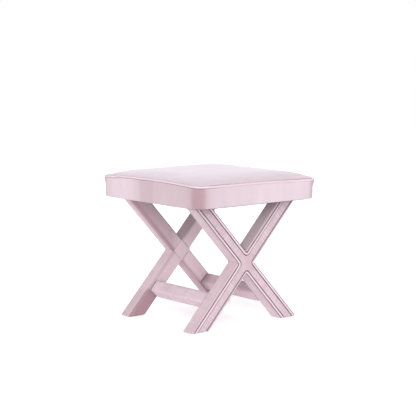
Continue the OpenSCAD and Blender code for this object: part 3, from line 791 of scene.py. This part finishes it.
# %% The legs' lines
UP = Vector((math.cos(LEAN), 0, math.sin(LEAN)))
LEFT_UP = Vector((-UP.x, 0, UP.z))
LOWER = Vector((math.sin(LEAN), 0, -math.cos(LEAN)))
CROSSING = Vector((0, 0, CROSS_Z))
FOOT = Vector((-FOOT_X, 0, 0))
OTHER_SIDE = Vector((-math.sin(LEAN), 0, -math.cos(LEAN)))
SLASH_UPPER = 12.4
SLASH_LOWER = 1.8
BACK_UPPER = 6.2
BACK_LOWER = 8.0
STEEP = math.degrees(LEAN)
OPENINGS = {
    "top": (90, 90 - STEEP, 2.0, SLASH_UPPER, BACK_UPPER),
    "bottom": (270, 90 - STEEP, 2.0, SLASH_LOWER, BACK_LOWER),
    "left": (180, STEEP, 2.0, BACK_LOWER, SLASH_UPPER),
    "right": (0, STEEP, 5.0, BACK_UPPER, SLASH_LOWER),
}


@functools.cache
def heading_at(degrees):
    a = math.radians(degrees)
    return Vector((math.cos(a), 0, math.sin(a)))


def at_level(place, direction, level):
    return place + direction * ((level - place.z) / direction.z)


@functools.cache
def bend_line(name, share):
    axis, half, fillet, first, second = OPENINGS[name]
    sine, tangent = math.sin(math.radians(half)), math.tan(math.radians(half))
    wide = math.sin(math.radians(2 * half))
    corner = CROSSING + heading_at(axis - half) * ((LEG / 2 - second * share) / wide)
    corner = corner + heading_at(axis + half) * ((LEG / 2 - first * share) / wide)
    radius = fillet + share * (first + second) / 2
    centre = corner + heading_at(axis) * (radius / sine)
    return corner, centre, radius, radius / tangent


for name in OPENINGS:
    corner, _, radius, _ = bend_line(name, 1.0)
    print(name, "cord bends by", round(radius, 1), "mm at", [round(c, 1) for c in corner])

# %% [markdown]
# The cover doesn't turn sharply in the inside corners of the X: it bends round the welt. One move
# takes any point near a corner along with the rounded line that it belongs to. All the pieces of
# an X go through it, so they stay together.

# %% Rounded inside corners
BEND_FADE = 22


def bend_move(place, name, share, fade):
    axis, half = OPENINGS[name][:2]
    corner, centre, radius, tangent = bend_line(name, share)
    flat = Vector((place.x, 0, place.z))
    if (flat - corner).length > tangent + fade:
        return Vector((0, 0, 0))
    along, sign = max(((flat - corner).dot(heading_at(axis + s * half)), s) for s in (-1, 1))
    along = max(0.0, along)
    if along >= tangent:
        return Vector((0, 0, 0))
    foot = corner + heading_at(axis + sign * half) * along
    sweep = (90 - half) * (1 - along / tangent)
    angle = axis + 180 - sign * (90 - half) + sign * sweep
    arc = centre + heading_at(angle) * radius
    return (arc - foot) * (1 - smooth(1, fade, (flat - foot).length))


def round_corners(place, share):
    moved = Vector((0, 0, 0))
    for name in OPENINGS:
        moved += bend_move(place, name, share, BEND_FADE)
    return place + moved


def to_cord(place):
    flat = Vector((place.x, 0, place.z))
    best = 1e9
    for name, (axis, half, *_) in OPENINGS.items():
        corner, centre, radius, tangent = bend_line(name, 1.0)
        from_centre = flat - centre
        if -from_centre.dot(heading_at(axis)) >= from_centre.length * math.sin(math.radians(half)):
            best = min(best, abs(from_centre.length - radius))
        for way in (heading_at(axis - half), heading_at(axis + half)):
            along = (flat - corner).dot(way)
            if along >= tangent:
                best = min(best, (flat - corner - way * along).length)
    return best


print("edge to cord on the left of the crossing:", round(to_cord(bend_line("left", 0)[0]), 1), "mm")

# %% [markdown]
# Under the foot the cover is gathered and tacked, so every piece of a leg rolls in over its last
# few millimetres.

# %% Rolled feet
FOOT_ROLL = 6.0
FOOT_DRAW = 2.4


def roll_under(bm):
    for v in bm.verts:
        above = v.co.z - FOOT_LOW
        if above > FOOT_ROLL:
            continue
        way = UP if v.co.x < 0 else LEFT_UP
        middle = at_level(CROSSING, way, v.co.z) + Vector((0, LEG / 2 - FACE_Y, 0))
        pull = (middle - v.co).normalized() * (FOOT_DRAW * rounding(above, FOOT_ROLL))
        pull.z = 0.0
        v.co += pull


print("a foot draws in by", FOOT_DRAW, "mm over its last", FOOT_ROLL, "mm")

# %% [markdown]
# Each inside corner of an X has one length of welt, which runs down one leg, round the bend and
# along the other leg. The same cord helpers make it, a little too long at both ends, and two
# cuts trim it level. Where the cord runs right at the leg's edge it lies deeper, and it comes up on
# to the face as it turns on to the other leg.

# %% Welts of the crossed legs
CORD_R = 3.3
CORD_DEPTH = 0.9
EDGE_DEPTH = 3.0


def cord_depth(name, place):
    axis, _, _, first, second = OPENINGS[name]
    beside = (place - bend_line(name, 1.0)[0]).dot(heading_at(axis + 90))
    share = smooth(-10, 10, beside)
    ends = [EDGE_DEPTH if inset <= EDGE_DEPTH else CORD_DEPTH for inset in (first, second)]
    return ends[0] + (ends[1] - ends[0]) * share


# Painted shade on the cord: darker where it sinks below the face, and along one flank where it lies
# at the lower edge of a '/' leg.
def sunk_cord_shade(name, place):
    sunk = place.y + FACE_Y - cord_depth(name, place)
    return smooth(-1.2, 1.8, sunk)


def flank_cord_shade(place):
    into_leg = LEG / 2 - SLASH_LOWER - (place - CROSSING).dot(LOWER)
    return 0.7 * smooth(0.8, 2.2, into_leg) * smooth(9, 6, into_leg)


def corner_welt(name):
    bm = bmesh.new()
    axis, half = OPENINGS[name][:2]
    corner, centre, _, tangent = bend_line(name, 1.0)
    first, second = heading_at(axis - half), heading_at(axis + half)
    depth = Vector((0, -FACE_Y, 0))
    ends = []
    for way in (first, second):
        level = COVER_TOP + 6 if way.z > 0 else FOOT_LOW - 6
        ends.append(at_level(corner, way, level))
    count = 80
    run = (ends[0] - corner).length - tangent
    ring = start_cord(bm, ends[0] + depth, -first, CORD_R)
    ring = run_cord(bm, ring, -first * (run / count), count)
    sweep = math.radians(180 - 2 * half)
    ring = bend_cord(bm, ring, centre + depth, (0, 1, 0), sweep, 12)
    run = (ends[1] - corner).length - tangent
    ring = run_cord(bm, ring, second * (run / count), count)
    for v in bm.verts:
        lump = noise.noise(v.co / 5) * 0.22
        drift = noise.noise(v.co / 40) * 0.3
        v.co += Vector((drift, cord_depth(name, v.co) + lump, drift))
    for level, normal in ((COVER_TOP, 1), (FOOT_LOW, -1)):
        slice_through(bm, (0, 0, level), (0, 0, normal), clear_outer=True)
    bmesh.ops.holes_fill(bm, edges=boundary(bm), sides=0)
    bmesh.ops.recalc_face_normals(bm, faces=bm.faces)
    mark(bm, fold=lambda v: max(sunk_cord_shade(name, v.co), flank_cord_shade(v.co)))
    return bm


for end in ("front", "back"):
    for name in OPENINGS:
        bm = corner_welt(name)
        if end == "back":
            mirrored(bm, FRONT_TO_BACK)
        title = f"{end}_welt_cord_{name}"
        finish_piece(title, bm, welt_velvet, [f"{end}_welt_{name}"])

# %% [markdown]
# The outer face of an X is one X-shaped padded panel. A diamond face at the crossing grows an arm
# from each of its edges, out to the level where the leg ends. Then the arms are cut finely along
# and across.

# %% The sheet of a face panel
SHEET_ARMS = (
    ("right", "top", UP),
    ("left", "bottom", -UP),
    ("top", "left", LEFT_UP),
    ("bottom", "right", -LEFT_UP),
)


def grow_arm(bm, edge, direction):
    level = COVER_TOP if direction.z > 0 else FOOT_LOW
    for v in fresh_verts(bmesh.ops.extrude_edge_only(bm, edges=[edge])["geom"]):
        v.co = at_level(v.co, direction, level)


def x_sheet():
    bm = bmesh.new()
    names = ("right", "top", "left", "bottom")
    corners = {name: bm.verts.new(bend_line(name, 1.0)[0]) for name in names}
    diamond = bm.faces.new(list(corners.values()))
    edges = {frozenset(e.verts): e for e in diamond.edges}
    for one, other, direction in SHEET_ARMS:
        grow_arm(bm, edges[frozenset((corners[one], corners[other]))], direction)
    cut_finely(bm, longer(bm, 120), 119)
    cut_finely(bm, longer(bm, 30), 31)
    return bm


print("a panel grows", len(SHEET_ARMS), "arms from its diamond")

# %% [markdown]
# A point's depth follows from its distance to the nearest cord: deep in the groove, a quick roll,
# then the padded flat. The cover is pulled so tight that it is faintly ribbed across the leg. The
# groove is darkened as painted shade; the panel is painted darker round the crossing, and on the
# left arm just below the seat it carries the seat's painted shade.

# %% The padding and the marks of a face panel
GROOVE = 4.5
GROOVE_DEPTH = 3.4


def across_legs(place):
    from_crossing = place - CROSSING
    return from_crossing.dot(LOWER), from_crossing.dot(OTHER_SIDE)


def run_along(place):
    first, second = across_legs(place)
    way = UP if abs(first) < abs(second) else LEFT_UP
    return (place - CROSSING).dot(way)


def rib_share(place):
    first, second = across_legs(place)
    return smooth(LEG / 2, LEG / 2 + 12, max(abs(first), abs(second)))


def panel_groove_shade(place):
    first, second = across_legs(place)
    arm = smooth(LEG / 2 - 8, LEG / 2 + 2, abs(second))
    share = 1 - smooth(GROOVE + 0.7, GROOVE + 3.0, to_cord(place))
    return share * (1 - arm * (0.55 * smooth(3, 9, -first) + 0.2 * smooth(3, 9, first)))


# Painted shade and tone: darker round the crossing, and on the left arm just below the seat, where
# the seat's shade falls.
def panel_nap(place):
    middle = 0.3 * smooth(60, 20, (place - CROSSING).xz.length)
    return middle + 0.25 * smooth(COVER_TOP - 45, COVER_TOP - 5, place.z) * smooth(0, -30, place.x)


def padded_place(place, seed):
    gap = to_cord(place)
    side = min(abs(s) for s in across_legs(place))
    depth = GROOVE_DEPTH * rounding(gap - GROOVE + 0.5, 4.0)
    ripple = uneven(run_along(place) / 8, side / 55, seed) * 0.25 * smooth(4, 10, gap)
    swell = 0.4 * smooth(5, 12, gap) + 0.5 * smooth(5, 20, gap)
    return Vector((place.x, -FACE_Y + depth - swell + ripple, place.z))


print("the groove is", GROOVE_DEPTH, "mm deep")

# %% Face panels
for end, seed in (("front", 11), ("back", 31)):
    bm = x_sheet()
    for v in bm.verts:
        v.co = padded_place(round_corners(v.co, 1.0), seed)
    bmesh.ops.recalc_face_normals(bm, faces=bm.faces)
    turn_towards(bm, bm.faces, (0, -1, 0))
    mark(
        bm,
        fold=lambda v: panel_groove_shade(v.co),
        run=lambda v: run_along(v.co),
        rib=lambda v: rib_share(v.co) * smooth(5, 9, to_cord(v.co)),
        nap=lambda v: panel_nap(v.co),
    )
    roll_under(bm)
    if end == "back":
        mirrored(bm, FRONT_TO_BACK)
    stands_for = [f"{end}_x_panel", f"{end}_x_padding"]
    finish_piece(f"{end}_x_face", bm, panel_velvet, stands_for, CLOTH)

# %% [markdown]
# Each arm of an X is wrapped in one more strip: up one side, across the inner face and down the
# other side. Where a welt lies in from the leg's edge, the strip first turns the edge and runs
# across the face to it. It starts as flat strips between the crossing and the leg's end, whose two
# inner edges are bevelled round.

# %% The sheet of a wrap
SIDE_START = 4.0
BACK_ROUND = 8.0


def strip_chain(rims, other):
    half = LEG / 2
    chain = [(-half, 0.0, 0.0), (-half, LEG, 0.0), (half, LEG, 0.0), (half, 0.0, 0.0)]
    if rims[0] > EDGE_DEPTH:
        chain = [(rims[0] - half, 0.0, other)] + chain
    else:
        chain[0] = (-half, SIDE_START, 0.0)
    if rims[1] > EDGE_DEPTH:
        chain = chain + [(half - rims[1], 0.0, other)]
    else:
        chain[-1] = (half, SIDE_START, 0.0)
    return chain


def arm_sheet(upper, rims, other):
    bm = bmesh.new()
    half = LEG / 2
    near_end, far_end = [], []
    for offset, depth, inset in strip_chain(rims, other):
        line = CROSSING + LOWER * offset
        reach = line.dot(OTHER_SIDE) - CROSSING.dot(OTHER_SIDE)
        reach += (half - inset) if upper else (inset - half)
        at_cross = line - UP * (reach / UP.dot(OTHER_SIDE))
        at_end = at_level(line, UP, COVER_TOP if upper else FOOT_LOW)
        back_in = Vector((0, depth - FACE_Y, 0))
        near_end.append(bm.verts.new(at_cross + back_in))
        far_end.append(bm.verts.new(at_end + back_in))
    for i in range(len(near_end) - 1):
        bm.faces.new((near_end[i], near_end[i + 1], far_end[i + 1], far_end[i]))
    inner = [e for e in longer(bm, 100) if min(v.co.y for v in e.verts) > LEG - FACE_Y - 0.1]
    bmesh.ops.bevel(bm, geom=inner, offset=BACK_ROUND, segments=6, **ROUND)
    cut_finely(bm, spanning(bm, UP, 120), 99)
    cut_finely(bm, longer(bm, 20), 19)
    strip = [e for e in spanning(bm, LOWER, 3.5) if max(v.co.y for v in e.verts) < 0.1 - FACE_Y]
    if strip:
        cut_finely(bm, strip, 11)
    return bm


print("the inner edges have a radius of", BACK_ROUND, "mm")

# %% [markdown]
# The flat sheet is then padded. Its sides belly a little. Its inner face swells, and dips at the seam
# with the next arm. Where a welt lies right at the leg's edge, the side rolls in before it meets the
# cord. "share" remembers how far a point of the strip on the face is on its way to the cord, for the
# bends at the crossing.

# %% Padding of a wrap
SEAM_DIP = 2.2


def shape_arm(bm, rims, seed):
    share = bm.verts.layers.float.new("share")
    flat_end = LEG - BACK_ROUND
    for v in bm.verts:
        offset = (v.co - CROSSING).dot(LOWER)
        along = (v.co - CROSSING).dot(UP)
        deep = v.co.y + FACE_Y
        rim = rims[0] if offset < 0 else rims[1]
        inside = LEG / 2 - abs(offset)
        on_strip = rim > EDGE_DEPTH and deep < 0.01
        v[share] = inside / rim if on_strip else 0.0
        if on_strip and inside > 0.01:
            continue
        if 0.01 < deep < flat_end:
            start = 0.0 if rim > EDGE_DEPTH else SIDE_START
            deep = start + (flat_end - start) * ((deep - start) / (flat_end - start)) ** 1.5
        face_share = smooth(LEG - 9, LEG - 1, deep)
        side_share = smooth(14, 22, abs(offset)) * smooth(0, 8, deep) * (1 - face_share)
        belly = 0.8 * math.sin(math.pi * min(1, deep / LEG))
        wave = uneven(along / 8, deep / 50, seed + math.copysign(3, offset))
        wave_face = uneven(along / 9, offset / 50, seed + 9)
        out = (belly + wave * 0.3) * side_share
        if rim <= EDGE_DEPTH and deep < 14:
            out -= 2.6 * rounding(deep - 6.2, 4.5) + (1.5 if deep < 5.5 else 0.0)
        seam = min(abs((v.co - CROSSING).dot(OTHER_SIDE) + s * LEG / 2) for s in (-1, 1))
        swell = 0.7 * math.cos(math.pi * min(0.5, abs(offset) / LEG))
        padded = swell + wave_face * 0.3 - bell(seam, SEAM_DIP)
        v.co.y = deep - FACE_Y + padded * face_share
        v.co += LOWER * math.copysign(out, offset) * (1 if abs(offset) > 14 else 0)


print("a seam's dip is about", 2 * SEAM_DIP, "mm wide")

# %% [markdown]
# The wraps are painted darker near the outer face, along the edges that look left, on the lower
# ends of the back X and on the left side of the upper half. The marks lie where the photograph is
# darker. They are painted shade, the soft shadow of close pieces, of the seat and of the
# stretchers, with a little brushed pile, so they are kept soft.

# %% Painted shade of a wrap
STRETCH_ALONG = 118.0


def leg_shade_and_nap(place, lower, rear):
    first, second = across_legs(place)
    deep = place.y + FACE_Y
    slash = abs(first) < abs(second)
    beside = LEG / 2 + (first if slash else -second)
    behind = smooth(LEG - 9, LEG - 3, deep)
    above = (place.z - FOOT_LOW) / UP.z
    # Painted shade: below the stretchers on the back X, and under the seat on the upper arms at the
    # left.
    shade_under = smooth(STRETCH_ALONG + 5, STRETCH_ALONG - 15, above) * rear
    if not lower:
        shade_under = 0.45 * smooth(0, -60, place.x)
    nap = behind * (0.5 * smooth(12, 3, beside) + shade_under) + 0.25 * smooth(12, 4, deep)
    if lower and rear and not slash:
        nap += 0.35 * smooth(6, 0, beside) * smooth(12, 24, deep)
    if lower and rear and slash:
        nap += 0.2 * smooth(6, 0, beside) * smooth(150, 90, above)
    if not lower and rear and not slash:
        nap += 0.9 * smooth(6, 0, beside) * smooth(20, 44, deep)
    return min(1.0, nap)


inner_foot = FOOT + Vector((0, LEG - FACE_Y, 0))
print("painted_shade inside a rear foot:", round(leg_shade_and_nap(inner_foot, True, True), 2))

# %% [markdown]
# Towards the face, the edge that the strip turns is rounded, and then the strip dives in under the
# cord. Painted shade darkens the strip there, in the groove, and along the seams of the inner face.

# %% Turned edges of a wrap


def turn_edges(bm, rims, flipped):
    share = bm.verts.layers.float["share"]
    fold = bm.verts.layers.float.new("fold")
    lower = Vector((-LOWER.x, 0, LOWER.z)) if flipped else LOWER
    for v in bm.verts:
        offset = (v.co - CROSSING).dot(lower)
        rim = rims[0] if offset < 0 else rims[1]
        deep = v.co.y + FACE_Y
        if deep > LEG - 8:
            over_seam = abs(LEG / 2 - max(abs(s) for s in across_legs(v.co)))
            v[fold] = 0.45 * bell(over_seam, 1.6)
            continue
        if rim <= EDGE_DEPTH:
            v[fold] = 0.6 * smooth(8.2, 6.2, deep)
            continue
        if deep > 12:
            continue
        turn = min(4.5, 0.4 * rim)
        inside = v[share] * rim
        into = -lower * math.copysign(1, offset)
        from_centre = Vector((inside - turn, deep - turn))
        if inside < turn and deep < turn:
            on_round = from_centre.normalized() * turn - from_centre
            v.co += into * on_round.x + Vector((0, on_round.y, 0))
        gap = to_cord(v.co)
        if deep < 6:
            v.co.y += GROOVE_DEPTH * rounding(gap - GROOVE + 0.4, 3.0) * smooth(6, 2, deep)
            wide, strength = (3.6, 1.0) if rim == SLASH_UPPER else (2.2, 0.75)
            v[fold] = strength * smooth(GROOVE + wide, GROOVE + 0.4, gap) * smooth(6, 3, deep)


print("the strip dives", GROOVE_DEPTH, "mm under the cord")

# %% [markdown]
# Each arm has its half of the X, its side, the insets of its own two welts, the inset of the other
# leg's welt where they meet, and a seed. The arms of the leg that leans left are made as arms of the
# other leg and then mirrored.

# %% Wraps of the arms
SLASH = (SLASH_UPPER, SLASH_LOWER)
BACKSLASH = (BACK_UPPER, BACK_LOWER)
ARMS = {
    "lower_left": (False, False, SLASH, BACK_LOWER, 1),
    "lower_right": (False, True, BACKSLASH, SLASH_LOWER, 2),
    "upper_right": (True, False, SLASH, BACK_UPPER, 3),
    "upper_left": (True, True, BACKSLASH, SLASH_UPPER, 4),
}
for end in ("front", "back"):
    for name, (upper, flipped, rims, other, seed) in ARMS.items():
        bm = arm_sheet(upper, rims, other)
        shape_arm(bm, rims, seed + (0 if end == "front" else 20))
        bmesh.ops.recalc_face_normals(bm, faces=bm.faces)
        inner_faces = [f for f in bm.faces if f.calc_center_median().y > LEG - FACE_Y - 2]
        turn_towards(bm, inner_faces, (0, 1, 0))
        if flipped:
            mirrored(bm, LEFT_TO_RIGHT)
        share = bm.verts.layers.float["share"]
        for v in bm.verts:
            v.co = round_corners(v.co, v[share])
        turn_edges(bm, rims, flipped)
        mark(
            bm,
            run=lambda v: run_along(v.co),
            rib=lambda v: 0.6 * rib_share(v.co) * smooth(60, 30, v.co.y + FACE_Y),
            nap=lambda v: leg_shade_and_nap(v.co, not upper, end == "back"),
        )
        if not upper:
            last = [e for e in boundary(bm) if max(v.co.z for v in e.verts) < FOOT_LOW + 1.5]
            for v in {v for e in last for v in e.verts}:
                v.co.z = FOOT_LOW
            roll_under(bm)
            bmesh.ops.contextual_create(bm, geom=last)
        if end == "back":
            mirrored(bm, FRONT_TO_BACK)
        title = f"{end}_wrap_cover_{name}"
        finish_piece(title, bm, leg_velvet, [f"{end}_wrap_{name}"], CLOTH)

# %% [markdown]
# Where the four arms meet on the inner face, a diamond of velvet is sewn in by hand. It is a
# small grid turned and sheared into a diamond, padded in the middle and drawn down along its four
# seams.

# %% Crossing patches
for end in ("front", "back"):
    bm = bmesh.new()
    bmesh.ops.create_grid(bm, x_segments=24, y_segments=24, size=1.0)
    reach = LEG / 2 / math.sin(2 * LEAN)
    for v in bm.verts:
        u, w = v.co.x, v.co.y
        place = CROSSING + UP * (u * reach) + LEFT_UP * (w * reach)
        place = round_corners(place, 0.0)
        edge = (1 - max(abs(u), abs(w))) * LEG / 2
        pucker = uneven(place.x / 5, place.z / 5, 2) * 0.25
        place.y = LEG - FACE_Y + 0.7 * (1 - u * u) * (1 - w * w) - bell(edge, SEAM_DIP)
        place.y += pucker * (1 - smooth(0, 10, edge))
        v.co = place
    bmesh.ops.recalc_face_normals(bm, faces=bm.faces)
    turn_towards(bm, bm.faces, (0, 1, 0))
    if end == "back":
        mirrored(bm, FRONT_TO_BACK)
    nodes = [f"{end}_crossing_patch"]
    finish_piece(f"{end}_crossing_diamond", bm, leg_velvet, nodes, CLOTH)

# %% [markdown]
# A stretcher is a padded square bar between the two X frames, turned with the legs it meets. A box
# with bevelled long edges is cut finely, and small puckers gather where its cover is pulled tight
# against the legs.

# %% Stretchers
STRETCH_OFF = 2.0
STRETCH_W = 44.0
STRETCH_H = 46.0
BAR = FACE_Y - LEG
for side_name in ("left", "right"):
    bm = bmesh.new()
    bmesh.ops.create_cube(bm, size=1.0)
    bmesh.ops.scale(bm, vec=(STRETCH_H, 2 * BAR, STRETCH_W), verts=bm.verts)
    bmesh.ops.bevel(bm, geom=longer(bm, 100), offset=9.0, segments=6, **ROUND)
    open_ends(bm, Vector((0, 1, 0)))
    cut_finely(bm, longer(bm, 100), 99)
    cut_finely(bm, longer(bm, 20), 11)
    centre = FOOT + UP * STRETCH_ALONG + LOWER * STRETCH_OFF
    for v in bm.verts:
        x, y, z = v.co
        spread = Vector((x, 0, z)).normalized()
        to_end = BAR - abs(y)
        tight = 1 - smooth(0, 45, to_end)
        wave = uneven(x / 30, y / 9, z / 30) * (0.15 + 0.5 * tight)
        swell = 0.9 * smooth(0, 30, to_end) + 2.2 * smooth(0.5, 6, to_end)
        out = spread * (wave + swell - 3.1)
        v.co = centre + LOWER * (x + out.x) + UP * (z + out.z) + Vector((0, y, 0))
    bmesh.ops.recalc_face_normals(bm, faces=bm.faces)
    if side_name == "right":
        mirrored(bm, LEFT_TO_RIGHT)
    # Painted shade: darker at both ends, where the bar meets the legs, and a soft painted shadow on
    # one side near its back end.
    mark(
        bm,
        fold=lambda v: smooth(9, 4, BAR - v.co.y) + smooth(3, 1, BAR + v.co.y),
        nap=lambda v: 0.8 * smooth(50, 10, BAR - v.co.y) * smooth(0, 20, v.co.x),
        run=lambda v: v.co.y,
        rib=lambda v: 0.2,
    )
    nodes = [f"{side_name}_stretcher_cover", f"{side_name}_stretcher_padding"]
    finish_piece(f"{side_name}_stretcher_wrap", bm, panel_velvet, nodes, CLOTH)

# %% [markdown]
# Three plain finishes are faintly clouded. The dust cover is black non-woven cambric, pressed fibre
# with a dull, slightly pitted face; its fibres are drawn 1.4 mm apart, coarser than real ones. The
# fasteners are zinc plated steel, grey and unevenly bright in spots of about 4 mm. The glides are
# moulded nylon, off-white with a soft gloss and faint scuffs. One function makes all three from a
# noise that mixes two tones, and dents the surface or changes its shine.

# %% Cambric, steel and nylon


def clouded(name, shape, tones, settings, dents=None, shine=None):
    material, tree = new_material(name)
    spot = add(tree, "ShaderNodeTexCoord").outputs["Object"]
    cloud = add(tree, "ShaderNodeTexNoise", shape, {"Vector": spot}).outputs[0]
    colours = {"data_type": "RGBA", 6: colour(tones[0]), 7: colour(tones[1])}
    links = {"Base Color": add(tree, "ShaderNodeMix", colours, {0: cloud}).outputs[2]}
    if dents:
        links["Normal"] = add(tree, "ShaderNodeBump", dents, {"Height": cloud}).outputs[0]
    if shine:
        links["Roughness"] = add(tree, "ShaderNodeMapRange", shine, {0: cloud}).outputs[0]
    shader = add(tree, "ShaderNodeBsdfPrincipled", settings, links)
    add(tree, "ShaderNodeOutputMaterial", links={"Surface": shader.outputs[0]})
    return material


cambric = clouded(
    "black_non_woven_cambric",
    {"Scale": 700.0, "Detail": 3.0},
    ("#1C1C1E", "#343437"),
    {"Roughness": 0.85},
    dents={"Strength": 0.4, "Distance": 0.0003},
)
zinc = clouded(
    "zinc_plated_steel",
    {"Scale": 240.0, "Detail": 3.0},
    ("#A9ADB1", "#C9CCCE"),
    {"Metallic": 1.0},
    shine={3: 0.28, 4: 0.45},
)
nylon = clouded(
    "moulded_nylon",
    {"Scale": 300.0, "Detail": 4.0},
    ("#E9E6DC", "#D8D3C6"),
    {"Roughness": 0.45, "IOR": 1.53},
    dents={"Strength": 0.15, "Distance": 0.0002},
)
print("plain finishes:", [m.name for m in (cambric, zinc, nylon)])

# %% [markdown]
# Under the seat the cambric keeps the dust out. It is stapled to the rails and pulled flat. It is
# cut from one square with round corners, and an opening is cut out for each leg's wooden end.

# %% Dust cover
DUST_IN = 8
DUST = SEAT - 2 * DUST_IN
DUST_Z = BAND_LOW - 0.7
DUST_GRID = 30
LEG_X = (152.5, 212.0)
LEG_Y = (142.0, 186.0)
bm = bmesh.new()
bmesh.ops.create_grid(bm, x_segments=1, y_segments=1, size=DUST / 2)
bmesh.ops.translate(bm, vec=(0, 0, DUST_Z), verts=bm.verts)
clipped = {**ROUND, "affect": "VERTICES"}
bmesh.ops.bevel(bm, geom=bm.verts[:], offset=CORNER_R - DUST_IN, segments=10, **clipped)
lines = sorted([*LEG_X, *LEG_Y, *range(0, int(DUST / 2), DUST_GRID)])
for level in [s * line for line in lines for s in (-1, 1)]:
    for across in ((1, 0, 0), (0, 1, 0)):
        slice_through(bm, Vector(across) * level, across)


def in_opening(face):
    middle = face.calc_center_median()
    return LEG_X[0] < abs(middle.x) < LEG_X[1] and LEG_Y[0] < abs(middle.y) < LEG_Y[1]


bmesh.ops.delete(bm, geom=[f for f in bm.faces if in_opening(f)], context="FACES")
for v in bm.verts:
    v.co.z += uneven(v.co.x / 40, v.co.y / 40, 0) * 0.25
turn_towards(bm, bm.faces, UPRIGHT)
dust_area = sum(f.calc_area() for f in bm.faces) / 1e6
dust = finish_piece("dust_cloth", bm, cambric, ["dust_cover"], 0.6)

# %% [markdown]
# The wooden frame is hidden, but anyone who turns the model over or opens it up sees real wood.
# Beech has a fine, straight grain with short dark flecks. The bands of its grain are about 8 mm
# apart and the flecks 1 mm wide. Both are stretched along each piece, so each direction of grain
# has its own material. The deck is birch plywood, which is paler.

# %% Wood
BEECH = ("#DDBB8A", "#B98C5A")
BIRCH = ("#E6CDA2", "#C9A878")
BANDS = (6, 120, 120)
FLECKS = (60, 900, 900)


def wood(name, tones, turn):
    material, tree = new_material(name)
    spot = add(tree, "ShaderNodeTexCoord").outputs["Object"]
    laid = add(tree, "ShaderNodeMapping", {"Rotation": turn}, {"Vector": spot})
    squeezed = add(tree, "ShaderNodeMapping", {"Scale": BANDS}, {"Vector": laid.outputs[0]})
    shape = {"Scale": 1.0, "Detail": 6.0, "Distortion": 0.4}
    grain = add(tree, "ShaderNodeTexNoise", shape, {"Vector": squeezed.outputs[0]})
    short = add(tree, "ShaderNodeMapping", {"Scale": FLECKS}, {"Vector": laid.outputs[0]})
    shape = {"Scale": 1.0, "Detail": 2.0}
    fleck = add(tree, "ShaderNodeTexNoise", shape, {"Vector": short.outputs[0]})
    dark_share = add(tree, "ShaderNodeMapRange", {1: 0.35, 2: 0.7}, {0: grain.outputs[0]})
    limits = {1: 0.6, 2: 0.75, 3: 0.0, 4: 0.35}
    spots = add(tree, "ShaderNodeMapRange", limits, {0: fleck.outputs[0]})
    both = {0: dark_share.outputs[0], 1: spots.outputs[0]}
    share = add(tree, "ShaderNodeMath", {"operation": "ADD", "use_clamp": True}, both)
    colours = {"data_type": "RGBA", 6: colour(tones[0]), 7: colour(tones[1])}
    tone = add(tree, "ShaderNodeMix", colours, {0: share.outputs[0]})
    pores = {"Strength": 0.2, "Distance": 0.0003}
    bump = add(tree, "ShaderNodeBump", pores, {"Height": share.outputs[0]})
    links = {"Base Color": tone.outputs[2], "Normal": bump.outputs[0]}
    shader = add(tree, "ShaderNodeBsdfPrincipled", {"Roughness": 0.6}, links)
    add(tree, "ShaderNodeOutputMaterial", links={"Surface": shader.outputs[0]})
    return material


beech_x = wood("beech_grain_across", BEECH, (0, 0, 0))
beech_y = wood("beech_grain_front_to_back", BEECH, (0, 0, math.radians(90)))
beech_right = wood("beech_grain_leaning_right", BEECH, (0, LEAN, 0))
beech_left = wood("beech_grain_leaning_left", BEECH, (0, -LEAN, 0))
birch_ply = wood("birch_plywood", BIRCH, (0, 0, 0))
print("woods:", [m.name for m in (beech_x, beech_y, beech_right, beech_left, birch_ply)])

# %% [markdown]
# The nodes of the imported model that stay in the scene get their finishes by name. What has no name
# here is wood that runs across the bench.

# %% Finishes of the model's own nodes
FINISHES = {
    "seat_deck": birch_ply,
    "seat_rail_left": beech_y,
    "seat_rail_right": beech_y,
    "left_stretcher_core": beech_y,
    "right_stretcher_core": beech_y,
    "rail_dowels": beech_y,
    "front_leg_left_foot": beech_right,
    "back_leg_left_foot": beech_right,
    "front_leg_right_foot": beech_left,
    "back_leg_right_foot": beech_left,
    "foot_glides": nylon,
}
STEEL = ("lap_screws", "frame_bolts", "frame_nuts", "stretcher_bolts", "deck_screws", "staples")
for name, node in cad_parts.items():
    finish = FINISHES.get(name, zinc if name in STEEL else beech_x)
    node.data.materials.clear()
    node.data.materials.append(finish)
print("finished nodes:", len(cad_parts))
